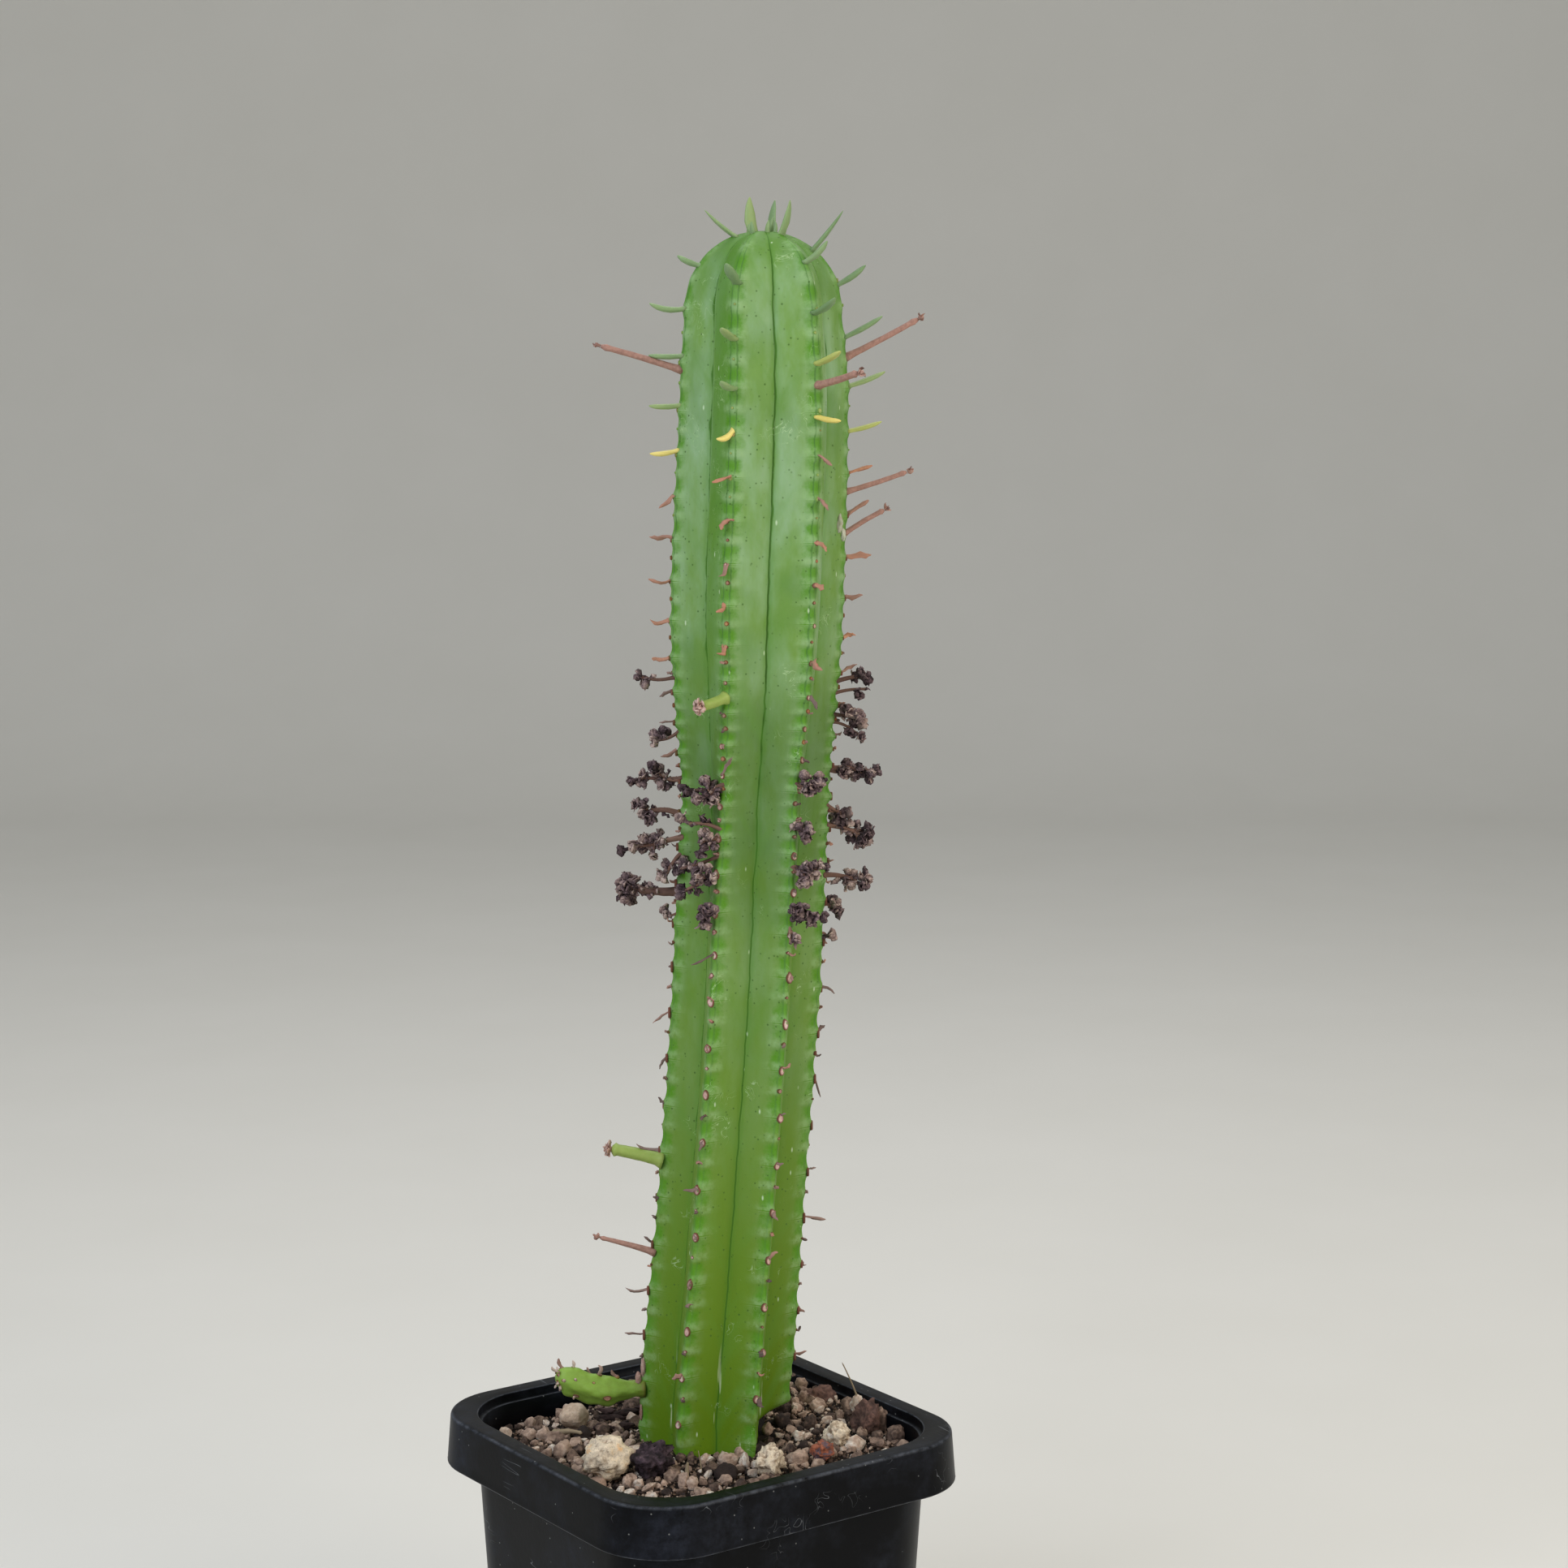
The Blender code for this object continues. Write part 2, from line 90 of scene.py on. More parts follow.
# Height above the rim, sideways place of the axis, radius at the crests, all in millimetres, and
# the grooves' radius over the crests'
STEM_PROFILE = (
    (-20.0, 2.6, 7.0, 0.6), (-16.0, 2.6, 11.2, 0.6), (-8.0, 2.6, 13.1, 0.6), (0.0, 2.6, 13.4, 0.6),
    (14.0, 3.7, 13.6, 0.59), (30.0, 5.0, 13.3, 0.59), (71.0, 8.0, 13.2, 0.59), (92.0, 9.1, 13.2, 0.6),
    (106.0, 9.8, 13.1, 0.62), (113.0, 10.0, 13.2, 0.64), (127.0, 10.1, 14.5, 0.67), (141.0, 10.3, 15.2, 0.7),
    (175.0, 11.5, 14.8, 0.73), (184.0, 11.5, 14.4, 0.73), (189.0, 11.4, 13.8, 0.73),
)
DOME_FOOT = 189.0
DOME_RISE = 15.3
DOME_RADIUS = 13.8
DOME_FULLNESS = 2.5
# Distance from one leaf scar to the next on a rib, against height above the rim, in millimetres
SCAR_PITCH = ((0.0, 8.2), (75.0, 8.0), (95.0, 6.5), (112.0, 5.15), (124.0, 5.35), (145.0, 6.9),
              (174.0, 7.4), (188.0, 9.0), (204.0, 10.0))
FIRST_SCAR = 2.0
# A flower eye sits this share of the way from its scar to the next one.
EYE_SHARE = 0.57
# Height of the swellings under the scars, against height above the rim, in millimetres
KNOBS = ((-20.0, 0.0), (0.0, 0.55), (90.0, 0.75), (106.0, 1.0), (124.0, 1.0), (138.0, 0.6), (190.0, 0.45),
         (204.0, 0.0))


# ---------------------------------------------------------------- colour, nodes and meshes

def linear(hex_colour):
    """An sRGB hex colour as linear red, green, blue and alpha."""
    channels = [int(hex_colour[i:i + 2], 16) / 255 for i in (0, 2, 4)]
    return tuple(c / 12.92 if c <= 0.04045 else ((c + 0.055) / 1.055) ** 2.4 for c in channels) + (1.0,)


def rgb(hex_colour):
    return linear(hex_colour)[:3]


def per(size_mm):
    """Texture scale, on coordinates in metres, whose pattern repeats about every size_mm."""
    return 1.0 / (size_mm * MM)


def add(tree, kind, inputs=None, points=None, stops=None, **settings):
    """Adds a node with its settings, socket values or links, curve points and colour stops."""
    node = tree.nodes.new(kind)
    for name, value in settings.items():
        setattr(node, name, value)
    for key, value in (inputs or {}).items():
        if isinstance(key, int):
            socket = node.inputs[key]
        else:
            socket = next(s for s in node.inputs if s.enabled and key in (s.name, s.identifier))
        if isinstance(value, bpy.types.Node):
            value = next(s for s in value.outputs if s.enabled)
        if isinstance(value, bpy.types.NodeSocket):
            tree.links.new(value, socket)
        else:
            socket.default_value = value
    if points:
        curve = node.mapping.curves[0]
        while len(curve.points) < len(points):
            curve.points.new(0.5, 0.5)
        for knot, place in zip(curve.points, points):
            knot.location = place
        node.mapping.update()
    if stops:
        ramp = node.color_ramp
        while len(ramp.elements) < len(stops):
            ramp.elements.new(0.5)
        for element, (place, colour) in zip(ramp.elements, stops):
            element.position = place
            element.color = linear(colour) if isinstance(colour, str) else (colour,) * 3 + (1.0,)
    return node


def new_material(name, roughness, **sockets):
    """A named material and its tree, with values set on the shader's own sockets."""
    made = bpy.data.materials.new(name)
    made.use_nodes = True
    shader = made.node_tree.nodes["Principled BSDF"]
    shader.inputs["Roughness"].default_value = roughness
    for key, value in sockets.items():
        shader.inputs[key.replace("_", " ")].default_value = value
    return made, made.node_tree, shader


def finish(tree, shader, colour, height, strength, depth_mm):
    """Links a material's colour, and its relief as deep as this, to its shader."""
    relief = add(tree, "ShaderNodeBump", {"Strength": strength, "Distance": depth_mm * MM, "Height": height})
    for node, socket in ((colour, "Base Color"), (relief, "Normal")):
        out = next(s for s in node.outputs if s.enabled)
        tree.links.new(out, shader.inputs[socket])


def painted(tree, ground, coats):
    """Lays coats of colour over a ground, each as thick as its share says."""
    for share, colour in coats:
        colour = linear(colour) if isinstance(colour, str) else colour
        ground = add(tree, "ShaderNodeMix", {"Factor": share, "A": ground, "B": colour}, data_type="RGBA")
    return ground


def new_object(name, mesh):
    made = bpy.data.objects.new(name, mesh)
    bpy.context.scene.collection.objects.link(made)
    return made


def mesh_object(name, bm, *materials):
    """Turns a bmesh in metres into a smooth object with outward normals."""
    bmesh.ops.recalc_face_normals(bm, faces=bm.faces)
    mesh = bpy.data.meshes.new(name)
    bm.to_mesh(mesh)
    bm.free()
    mesh.shade_smooth()
    for material in materials:
        mesh.materials.append(material)
    return new_object(name, mesh)


def grown(source, tree, name, **values):
    """Runs a Geometry Nodes tree on an object and keeps the result as a plain mesh object."""
    modifier = source.modifiers.new(tree.name, "NODES")
    modifier.node_group = tree
    for item in tree.interface.items_tree:
        key = item.name.replace(" ", "_").lower()
        if item.in_out == "INPUT" and key in values:
            modifier[item.identifier] = values[key]
    graph = bpy.context.evaluated_depsgraph_get()
    mesh = bpy.data.meshes.new_from_object(source.evaluated_get(graph), preserve_all_data_layers=True,
                                           depsgraph=graph)
    mesh.name = name
    mesh.shade_smooth()
    bpy.data.objects.remove(source, do_unlink=True)
    if not mesh.polygons:
        raise RuntimeError(f"{name} came out empty")
    return new_object(name, mesh)


def nodes_named(start):
    """The solids whose names start like this."""
    return [name for name in frame["nodes"] if name.startswith(start)]


def keep(piece, slot, *nodes):
    """Fastens a finished piece to the model and hides the solids that it stands for."""
    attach(piece, "root")
    if nodes:
        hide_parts(*nodes)
    return piece


def new_tree(name, **sockets):
    """A Geometry Nodes tree with named inputs, what it is given, and the node for its result."""
    tree = bpy.data.node_groups.new(name, "GeometryNodeTree")
    tree.interface.new_socket("Geometry", in_out="OUTPUT", socket_type="NodeSocketGeometry")
    tree.interface.new_socket("Geometry", in_out="INPUT", socket_type="NodeSocketGeometry")
    for key, kind in sockets.items():
        label = key.replace("_", " ").title()
        tree.interface.new_socket(label, in_out="INPUT", socket_type=f"NodeSocket{kind}")
    return tree, tree.nodes.new("NodeGroupInput").outputs, tree.nodes.new("NodeGroupOutput")


# ---------------------------------------------------------------- the plant's own measures

found_surface = {}


def between(table, x, column=1):
    """Value of a table's column at x, smoothed through its rows."""
    rows = [row for row in table if row[0] <= x][-1:] or [table[0]]
    i = table.index(rows[0])
    if x <= table[0][0] or i == len(table) - 1:
        return table[i][column]
    low, high = table[i], table[i + 1]
    before, after = table[max(i - 1, 0)], table[min(i + 2, len(table) - 1)]
    width = high[0] - low[0]
    t = (x - low[0]) / width
    slope_low = (high[column] - before[column]) / (high[0] - before[0]) * width
    slope_high = (after[column] - low[column]) / (after[0] - low[0]) * width
    return (low[column] * (1 + 2 * t) * (1 - t) ** 2 + slope_low * t * (1 - t) ** 2
            + high[column] * t * t * (3 - 2 * t) - slope_high * t * t * (1 - t))


def from_plant(right, back, height):
    """A point by the plant's own directions, in millimetres, as a place in the frame."""
    cos, sin = math.cos(PLANT_TURN), math.sin(PLANT_TURN)
    level = Vector((right * cos - back * sin, right * sin + back * cos, 0))
    return level * MM + Vector((0, 0, RIM_Z + height * MM))


def outward(turn, rise=0.0):
    """Unit direction turned from the plant's front towards its right, and raised."""
    way = PLANT_TURN + turn - math.pi / 2
    return Vector((math.cos(way) * math.cos(rise), math.sin(way) * math.cos(rise), math.sin(rise)))


def axis_at(height):
    return from_plant(between(STEM_PROFILE, min(height, DOME_FOOT), 1), STEM_BACK / MM, height)


def crest_at(height):
    """Radius at the crests, in millimetres."""
    if height <= DOME_FOOT:
        return between(STEM_PROFILE, height, 2)
    share = min((height - DOME_FOOT) / DOME_RISE, 1.0)
    return DOME_RADIUS * math.sqrt(1 - share ** DOME_FULLNESS)


def twist_at(height):
    start, end = TWIST_SPAN
    t = min(max((height - start) / (end - start), 0.0), 1.0)
    return TWIST * t * t * (3 - 2 * t)


def rib_turn(rib, height):
    return FRONT_RIB + rib * RIB_STEP + twist_at(height)


def scar_counts():
    """Heights up the stem in small steps, each with how many leaf scars lie below it, whole and part."""
    height, count, step = FIRST_SCAR, 0.0, 0.25
    while True:
        yield height, count
        count += step / between(SCAR_PITCH, height)
        height += step


def phase_at(height):
    """Number of leaf scars, whole and part, from the first one up to a height."""
    here, count = next(row for row in scar_counts() if row[0] >= height)
    return count - (here - height) / between(SCAR_PITCH, height)


def scar_height(number):
    """Height above the rim of the scar with this number, in millimetres."""
    return next(height for height, count in scar_counts() if count >= number)


def on_crest(rib, height, out=0.0, across=0.0):
    """A place on a rib's crest line, out of it and across it by these millimetres."""
    radius = crest_at(height) - 0.45
    turn = rib_turn(rib, height) + across / radius
    return axis_at(height) + outward(turn) * ((radius + out) * MM)


def dome_tilt(height):
    """How far the surface's outward direction rises, which grows over the dome."""
    if height <= DOME_FOOT - 6:
        return 0.0
    return math.radians(75) * min((height - DOME_FOOT + 6) / (DOME_RISE + 6), 1.0) ** 1.6


def skin_at(rib, height, across=0.0, sink=0.0):
    """The place on the stem's skin at a rib's crest, sunk this far in millimetres, and its outward way."""
    way = outward(rib_turn(rib, height) + across / crest_at(height), dome_tilt(height))
    start = on_crest(rib, height, 0.0, across) + way * (6 * MM)
    place = stem_surface().ray_cast(start, -way, 12 * MM)[0]
    if place is None:
        place = on_crest(rib, height, 0.0, across)
    return place - way * (sink * MM), way


def stem_surface():
    """Search tree over the finished stem, which pieces that grow out of it are set against."""
    if "surface" not in found_surface:
        mesh = bpy.data.objects["stem"].data
        points, faces = [v.co for v in mesh.vertices], [p.vertices for p in mesh.polygons]
        found_surface["surface"] = BVHTree.FromPolygons(points, faces)
    return found_surface["surface"]


def ends_of(node):
    """Foot and tip of a solid that grows out of the stem: the middles of its inner and outer ends."""
    points = [v.co.copy() for v in frame["nodes"][node].data.vertices]
    middle = sum((p.z for p in points)) / len(points)
    heart = axis_at(min((middle - RIM_Z) / MM, DOME_FOOT - 4))
    foot = min(points, key=lambda p: (p - heart).length)
    tip = max(points, key=lambda p: (p - heart).length)
    for _ in range(3):
        along = (tip - foot).normalized()
        places = sorted(points, key=along.dot)
        near = [p for p in places if (p - places[0]).dot(along) < 0.35 * MM]
        far = [p for p in places if (places[-1] - p).dot(along) < 0.35 * MM]
        foot, tip = sum(near, Vector()) / len(near), sum(far, Vector()) / len(far)
    return foot, tip


def turned(along, face=None):
    """Rotation whose Z lies along a direction and whose Y looks as near as it can to face."""
    z = along.normalized()
    hint = face if face is not None else Vector((0, 0, 1))
    if abs(z.dot(hint.normalized())) > 0.98:
        hint = Vector((1, 0, 0))
    x = hint.cross(z).normalized()
    y = z.cross(x)
    return Matrix((x, y, z)).transposed()


def random_way(draw, reach=1.0):
    """A random vector from inside a cube."""
    return Vector([draw.uniform(-reach, reach) for _ in range(3)])


def spun(draw, way):
    """Rotation that looks along a direction, turned about it at random."""
    return turned(way) @ Matrix.Rotation(draw.uniform(0, 6), 3, "Z")


# ---------------------------------------------------------------- shapes and their copies

Spot = namedtuple("Spot", "place turn size tone pick")


def loft(bm, rings, caps=True):
    """Faces through rings of equally many points, closed at both ends."""
    rows = [[bm.verts.new(point) for point in ring] for ring in rings]
    count = len(rows[0])
    for low, high in zip(rows, rows[1:]):
        for i in range(count):
            bm.faces.new((low[i], low[(i + 1) % count], high[(i + 1) % count], high[i]))
    if caps:
        bm.faces.new(rows[0])
        bm.faces.new(rows[-1])
    return rows


def rod(bm, path, radius_at, sides=12):
    """Tube along a path in metres; radius_at gives millimetres at a share of the length and an angle."""
    rings = []
    face = Vector((0, 0, 1))
    for index, place in enumerate(path):
        along = path[min(index + 1, len(path) - 1)] - path[max(index - 1, 0)]
        frame_here = turned(along, face)
        face = frame_here.col[1]
        share = index / (len(path) - 1)
        ring = []
        for step in range(sides):
            angle = 2 * math.pi * step / sides
            radius = radius_at(share, angle) * MM
            ring.append(place + frame_here @ Vector((radius * math.cos(angle), radius * math.sin(angle), 0)))
        rings.append(ring)
    return loft(bm, rings)


def bowed(foot, tip, sag, steps, side=None):
    """Path from foot to tip that bows by sag millimetres, upwards unless a side is given."""
    way = side if side is not None else Vector((0, 0, 1))
    return [foot.lerp(tip, i / steps) + way * (sag * MM * math.sin(math.pi * i / steps))
            for i in range(steps + 1)]


def leaf_shape(curve, twist, pinch, seed, taper=0.0):
    """A leaf of unit length along Z, half a unit wide each way, that bows towards +Y at its ends."""
    bm = bmesh.new()
    rings = []
    for row, (share, width) in enumerate(((0.0, 1.05), (0.08, 0.9), (0.2, 0.86), (0.4, 0.98), (0.6, 1.0),
                                          (0.78, 0.86), (0.9, 0.6), (0.97, 0.34), (1.0, 0.1))):
        bend = 2.4 * curve * (share * share - share)
        stray = pinch * 0.5 * noise.noise(Vector((share * 2.6, seed * 3.0, 0.5)))
        turn = Matrix.Rotation(twist * share, 3, "Z")
        ring = []
        for step in range(10):
            angle = 2 * math.pi * step / 10
            wide = 0.5 * width * (1 - taper * share)
            across, thick = wide * math.cos(angle), wide * math.sin(angle)
            if thick > 0:
                thick *= 1 - pinch
            worn = 1 + pinch * 1.1 * noise.noise(Vector((across * 3, row * 0.9, seed)))
            ring.append(turn @ Vector((across * worn + stray, thick * worn + bend, share)))
        rings.append(ring)
    loft(bm, rings)
    return bm


def scar_shape(seed):
    """A leaf scar 1 across and 1 high: a raised border round a low swollen middle, facing +Y."""
    bm = bmesh.new()
    rings = []
    for reach, up in ((1.0, -0.25), (0.94, 0.1), (0.76, 0.17), (0.6, 0.06), (0.34, 0.1)):
        ring = []
        for step in range(14):
            angle = 2 * math.pi * step / 14
            worn = 0.5 * reach * (1 + 0.13 * noise.noise(Vector((math.cos(angle), math.sin(angle), seed))))
            narrow = 1.0 - 0.22 * max(math.sin(angle), 0)
            ring.append(Vector((worn * math.cos(angle) * narrow, up, worn * math.sin(angle))))
        rings.append(ring)
    rim = bm.verts.layers.float.new("rim")
    rows = loft(bm, rings)
    for row, share in zip(rows, (1.0, 1.0, 0.85, 0.1, 0.0)):
        for vert in row:
            vert[rim] = share
    return bm


def crumpled(place):
    """A vector of noise at a place, the same one on every run."""
    return Vector([noise.noise(place + Vector((0, 0, 9.0 * axis))) for axis in range(3)])


def floret_shape(seed):
    """A shrivelled flower along Z: five crumpled petals that curl from a short cup, with a painted highlight
    at their edges.
    """
    bm = bmesh.new()
    draw = random.Random(seed)
    edge = bm.verts.layers.float.new("rim")
    cup = ((0.0, 0.12), (0.25, 0.13), (0.42, 0.24), (0.5, 0.12))
    loft(bm, [[Vector((reach * math.cos(a), reach * math.sin(a), up))
               for a in (i * math.pi / 3 for i in range(6))] for up, reach in cup])
    for petal in range(5):
        turn = Matrix.Rotation(2 * math.pi * (petal + draw.uniform(-0.25, 0.25)) / 5, 3, "Z")
        lean, curl, length = draw.uniform(0.1, 1.0), draw.uniform(-2.6, 0.9), draw.uniform(0.5, 0.75)
        point, rings = Vector((0.1, 0, 0.32)), []
        for row, width in enumerate((0.14, 0.3, 0.34, 0.14)):
            slope = lean + curl * row / 3
            along = Vector((math.sin(slope), 0, math.cos(slope)))
            thick = Vector((math.cos(slope), 0, -math.sin(slope)))
            fold = draw.uniform(-0.12, 0.12)
            ring = [point + Vector((0, width * out, 0)) + thick * (0.035 * face + fold * abs(out))
                    for out, face in ((-1, 0), (-0.2, 1), (1, 0.4), (0.2, -1))]
            rings.append([turn @ (p + crumpled(p * 5 + Vector((seed, petal, 0))) * 0.1) for p in ring])
            point = point + along * (length / 3)
        for share, ring in zip((0.0, 0.35, 0.8, 1.0), loft(bm, rings)):
            for vert in ring:
                vert[edge] = share * draw.uniform(0.6, 1.0)
    return bm


def flake_shape(seed):
    """A crumpled scrap of petal about one unit across."""
    bm = bmesh.new()
    bmesh.ops.create_icosphere(bm, subdivisions=1, radius=0.5)
    edge = bm.verts.layers.float.new("rim")
    for vert in bm.verts:
        # Rim values here paint patches of highlight on the scrap
        vert[edge] = 0.5 + 0.5 * noise.noise(vert.co * 4.0)
        curl = noise.noise(vert.co * 2.4 + Vector((seed * 3.1, 0, 0)))
        spread = 1 + 0.9 * noise.noise(vert.co * 3.3 + Vector((0, seed * 2.7, 0)))
        vert.co = Vector((vert.co.x * spread, vert.co.y * 0.28 + 0.55 * curl, vert.co.z * spread))
    return bm


def grain_shape(seed, subdivisions, roughness, flatness=1.0, planed=0.9, keen=0.0):
    """A stone grain about one unit across, longest along X, with flatter faces as keen grows."""
    bm = bmesh.new()
    bmesh.ops.create_icosphere(bm, subdivisions=subdivisions, radius=0.5)
    draw = random.Random(seed)
    cuts = [(random_way(draw).normalized(), draw.uniform(0.3, 0.44) * (1 - keen)) for _ in range(7)]
    for vert in bm.verts:
        point = vert.co.copy()
        for normal, reach in cuts:
            over = point.dot(normal) - reach
            if over > 0:
                point -= normal * over * planed
        point *= 1 + roughness * noise.noise(vert.co * 6 + Vector((seed * 3.0, 0, 0)))
        vert.co = Vector((point.x, point.y * 0.82, point.z * 0.7 * flatness)) * (1 + 0.7 * keen)
    return bm


def shape_set(name, shapes):
    """Keeps unit shapes in a collection of their own, for copies to pick from."""
    holder = bpy.data.collections.new(name)
    for index, bm in enumerate(shapes):
        bmesh.ops.recalc_face_normals(bm, faces=bm.faces)
        mesh = bpy.data.meshes.new(f"{name}_{index:02d}")
        bm.to_mesh(mesh)
        bm.free()
        holder.objects.link(bpy.data.objects.new(mesh.name, mesh))
    return holder


def drop_shapes(holder):
    for shape in list(holder.objects):
        bpy.data.objects.remove(shape, do_unlink=True)
    bpy.data.collections.remove(holder)


def set_pieces_tree():
    """Sets one of a collection's shapes on every point, turned and sized as the point's values say."""
    tree, given, result = new_tree("Set pieces on points", pieces="Collection", material="Material")
    read = {}
    for key, kind in (("turn", "FLOAT_VECTOR"), ("size", "FLOAT_VECTOR"), ("pick", "INT")):
        read[key] = add(tree, "GeometryNodeInputNamedAttribute", {"Name": key}, data_type=kind)
    shapes = add(tree, "GeometryNodeCollectionInfo",
                 {"Collection": given["Pieces"], "Separate Children": True, "Reset Children": True})
    turn = add(tree, "FunctionNodeEulerToRotation", {"Euler": read["turn"]})
    placed = add(tree, "GeometryNodeInstanceOnPoints",
                 {"Points": given["Geometry"], "Instance": shapes, "Pick Instance": True,
                  "Instance Index": read["pick"], "Rotation": turn, "Scale": read["size"]})
    whole = add(tree, "GeometryNodeRealizeInstances", {"Geometry": placed})
    dressed = add(tree, "GeometryNodeSetMaterial", {"Geometry": whole, "Material": given["Material"]})
    tree.links.new(dressed.outputs[0], result.inputs[0])
    return tree


def on_points(name, spots, shapes, material):
    """One mesh of copies of the shapes, a copy for every spot."""
    mesh = bpy.data.meshes.new(name + "_points")
    mesh.from_pydata([spot.place for spot in spots], [], [])
    columns = {"turn": ("FLOAT_VECTOR", "vector", [c for spot in spots for c in spot.turn.to_euler()]),
               "size": ("FLOAT_VECTOR", "vector", [c * MM for spot in spots for c in spot.size]),
               "tone": ("FLOAT", "value", [spot.tone for spot in spots]),
               "pick": ("INT", "value", [spot.pick for spot in spots])}
    for key, (kind, field, values) in columns.items():
        mesh.attributes.new(key, kind, "POINT").data.foreach_set(field, values)
    tree = bpy.data.node_groups.get("Set pieces on points") or set_pieces_tree()
    made = grown(new_object(name + "_points", mesh), tree, name, pieces=shapes, material=material)
    drop_shapes(shapes)
    return made


# ---------------------------------------------------------------- pot

RIM_HALF = 35.0
RIM_CORNER = 12.8
BAND_DROP = 8.8
BAND_FLARE = 0.65
BAND_WALL = 1.1
FLANGE = 1.5
BODY_HALF = 31.9
BODY_CORNER = 13.0
BASE_HALF = 28.6
BASE_CORNER = 12.0
WALL = 1.2
FLOOR = 1.3
LEDGE_WIDTH = 0.8
LEDGE_DROP = 1.6


def rounded_square(half, corner, height, turn_points=14, flat_points=8):
    """Points in millimetres round a square with rounded corners."""
    points = []
    flat = half - corner
    for quarter in range(4):
        turn = Matrix.Rotation(quarter * math.pi / 2, 3, "Z")
        for step in range(flat_points):
            points.append(turn @ Vector((half, flat * (2 * step / flat_points - 1), 0)))
        for step in range(turn_points):
            angle = math.pi / 2 * step / turn_points
            knee = Vector((flat + corner * math.cos(angle), flat + corner * math.sin(angle), 0))
            points.append(turn @ knee)
    return [Vector((p.x * MM, p.y * MM, height * MM)) for p in points]


def inner_half(height):
    """Half the width between the pot's inner walls, at a height above the table."""
    return BASE_HALF + (BODY_HALF - BASE_HALF) * height * MM / RIM_Z - WALL


def inner_corner(height):
    return BASE_CORNER + (BODY_CORNER - BASE_CORNER) * height * MM / RIM_Z - WALL


def rounded_edge(half, corner, height, radius, start, end, steps=4):
    """Rows for an edge rounded between two directions: half, corner, height and painted edge highlight of
    each.
    """
    rows = []
    for step in range(steps + 1):
        angle = math.radians(start + (end - start) * step / steps)
        out = radius * math.cos(angle)
        edge_highlight = 1 - abs(2 * step / steps - 1)
        rows.append((half + out, corner + out, height + radius * math.sin(angle), edge_highlight))
    return rows


def pot_rows():
    """The pot's profile from its floor inside, over the rim and down to the foot."""
    top = RIM_Z / MM
    ledge, hem, under = top - LEDGE_DROP, top - BAND_DROP, top - FLANGE
    rows = [(inner_half(FLOOR + 1) - 1.0, inner_corner(FLOOR) - 1.0, FLOOR, 0.0)]
    rows += [(inner_half(h), inner_corner(h), h, 0.0)
             for h in (FLOOR + 1.0, 20.0, 40.0, 52.0, 56.0, 60.0, ledge - 0.1)]
    step_half, step_corner = inner_half(ledge) + LEDGE_WIDTH, inner_corner(ledge) + LEDGE_WIDTH
    rows += [(inner_half(ledge) + 0.12, inner_corner(ledge) + 0.12, ledge, 0.6)]
    rows += [(step_half - 0.1, step_corner - 0.1, ledge + 0.02, 0.0),
             (step_half, step_corner, ledge + 0.12, 0.0)]
    rows += rounded_edge(step_half + 0.25, step_corner + 0.25, top - 0.25, 0.25, 180, 90)
    rows += [(half, RIM_CORNER - (RIM_HALF - half), top - 0.02 * (half - 33.2), 0.1) for half in (33.2, 33.8)]
    rows += rounded_edge(RIM_HALF - 0.6, RIM_CORNER - 0.6, top - 0.6, 0.6, 90, 0, 6)
    wall = top - 0.6 - hem
    rows += [(RIM_HALF + BAND_FLARE * share, RIM_CORNER + BAND_FLARE * share, top - 0.6 - wall * share, 0.0)
             for share in (0.15, 0.35, 0.55, 0.75, 0.93)]
    flare = RIM_HALF + BAND_FLARE
    rows += rounded_edge(flare - 0.35, RIM_CORNER + BAND_FLARE - 0.35, hem + 0.35, 0.35, 0, -90)
    rows += [(flare - BAND_WALL, RIM_CORNER + BAND_FLARE - BAND_WALL, hem, 0.3),
             (RIM_HALF - BAND_WALL, RIM_CORNER - BAND_WALL, under, 0.0),
             (BODY_HALF, BODY_CORNER, under - 0.12, 0.0)]
    foot = 1.2
    for share in (0.15, 0.3, 0.45, 0.6, 0.75, 0.9, 1.0):
        height = (under - 0.12) * (1 - share) + foot * share
        narrow = height * MM / RIM_Z
        rows.append((BASE_HALF + (BODY_HALF - BASE_HALF) * narrow,
                     BASE_CORNER + (BODY_CORNER - BASE_CORNER) * narrow, height, 0.0))
    rows += rounded_edge(BASE_HALF - foot, BASE_CORNER - foot, foot, foot, -15, -90)
    return rows


def drained_tree():
    """Cuts four round drainage holes through the floor of a pot, near its corners."""
    tree, given, result = new_tree("Drainage holes", radius="Float", offset="Float", depth="Float")
    hole = add(tree, "GeometryNodeMeshCylinder",
               {"Vertices": 32, "Radius": given["Radius"], "Depth": given["Depth"]})
    reach = add(tree, "ShaderNodeMath", {0: given["Offset"], 1: 2.0}, operation="MULTIPLY")
    corners = add(tree, "GeometryNodeMeshGrid",
                  {"Size X": reach, "Size Y": reach, "Vertices X": 2, "Vertices Y": 2})
    holes = add(tree, "GeometryNodeInstanceOnPoints", {"Points": corners, "Instance": hole})
    cut = add(tree, "GeometryNodeMeshBoolean", {"Mesh 1": given["Geometry"], "Mesh 2": holes},
              operation="DIFFERENCE", solver="EXACT")
    whole = add(tree, "GeometryNodeRealizeInstances", {"Geometry": cut})
    tree.links.new(whole.outputs[0], result.inputs[0])
    return tree


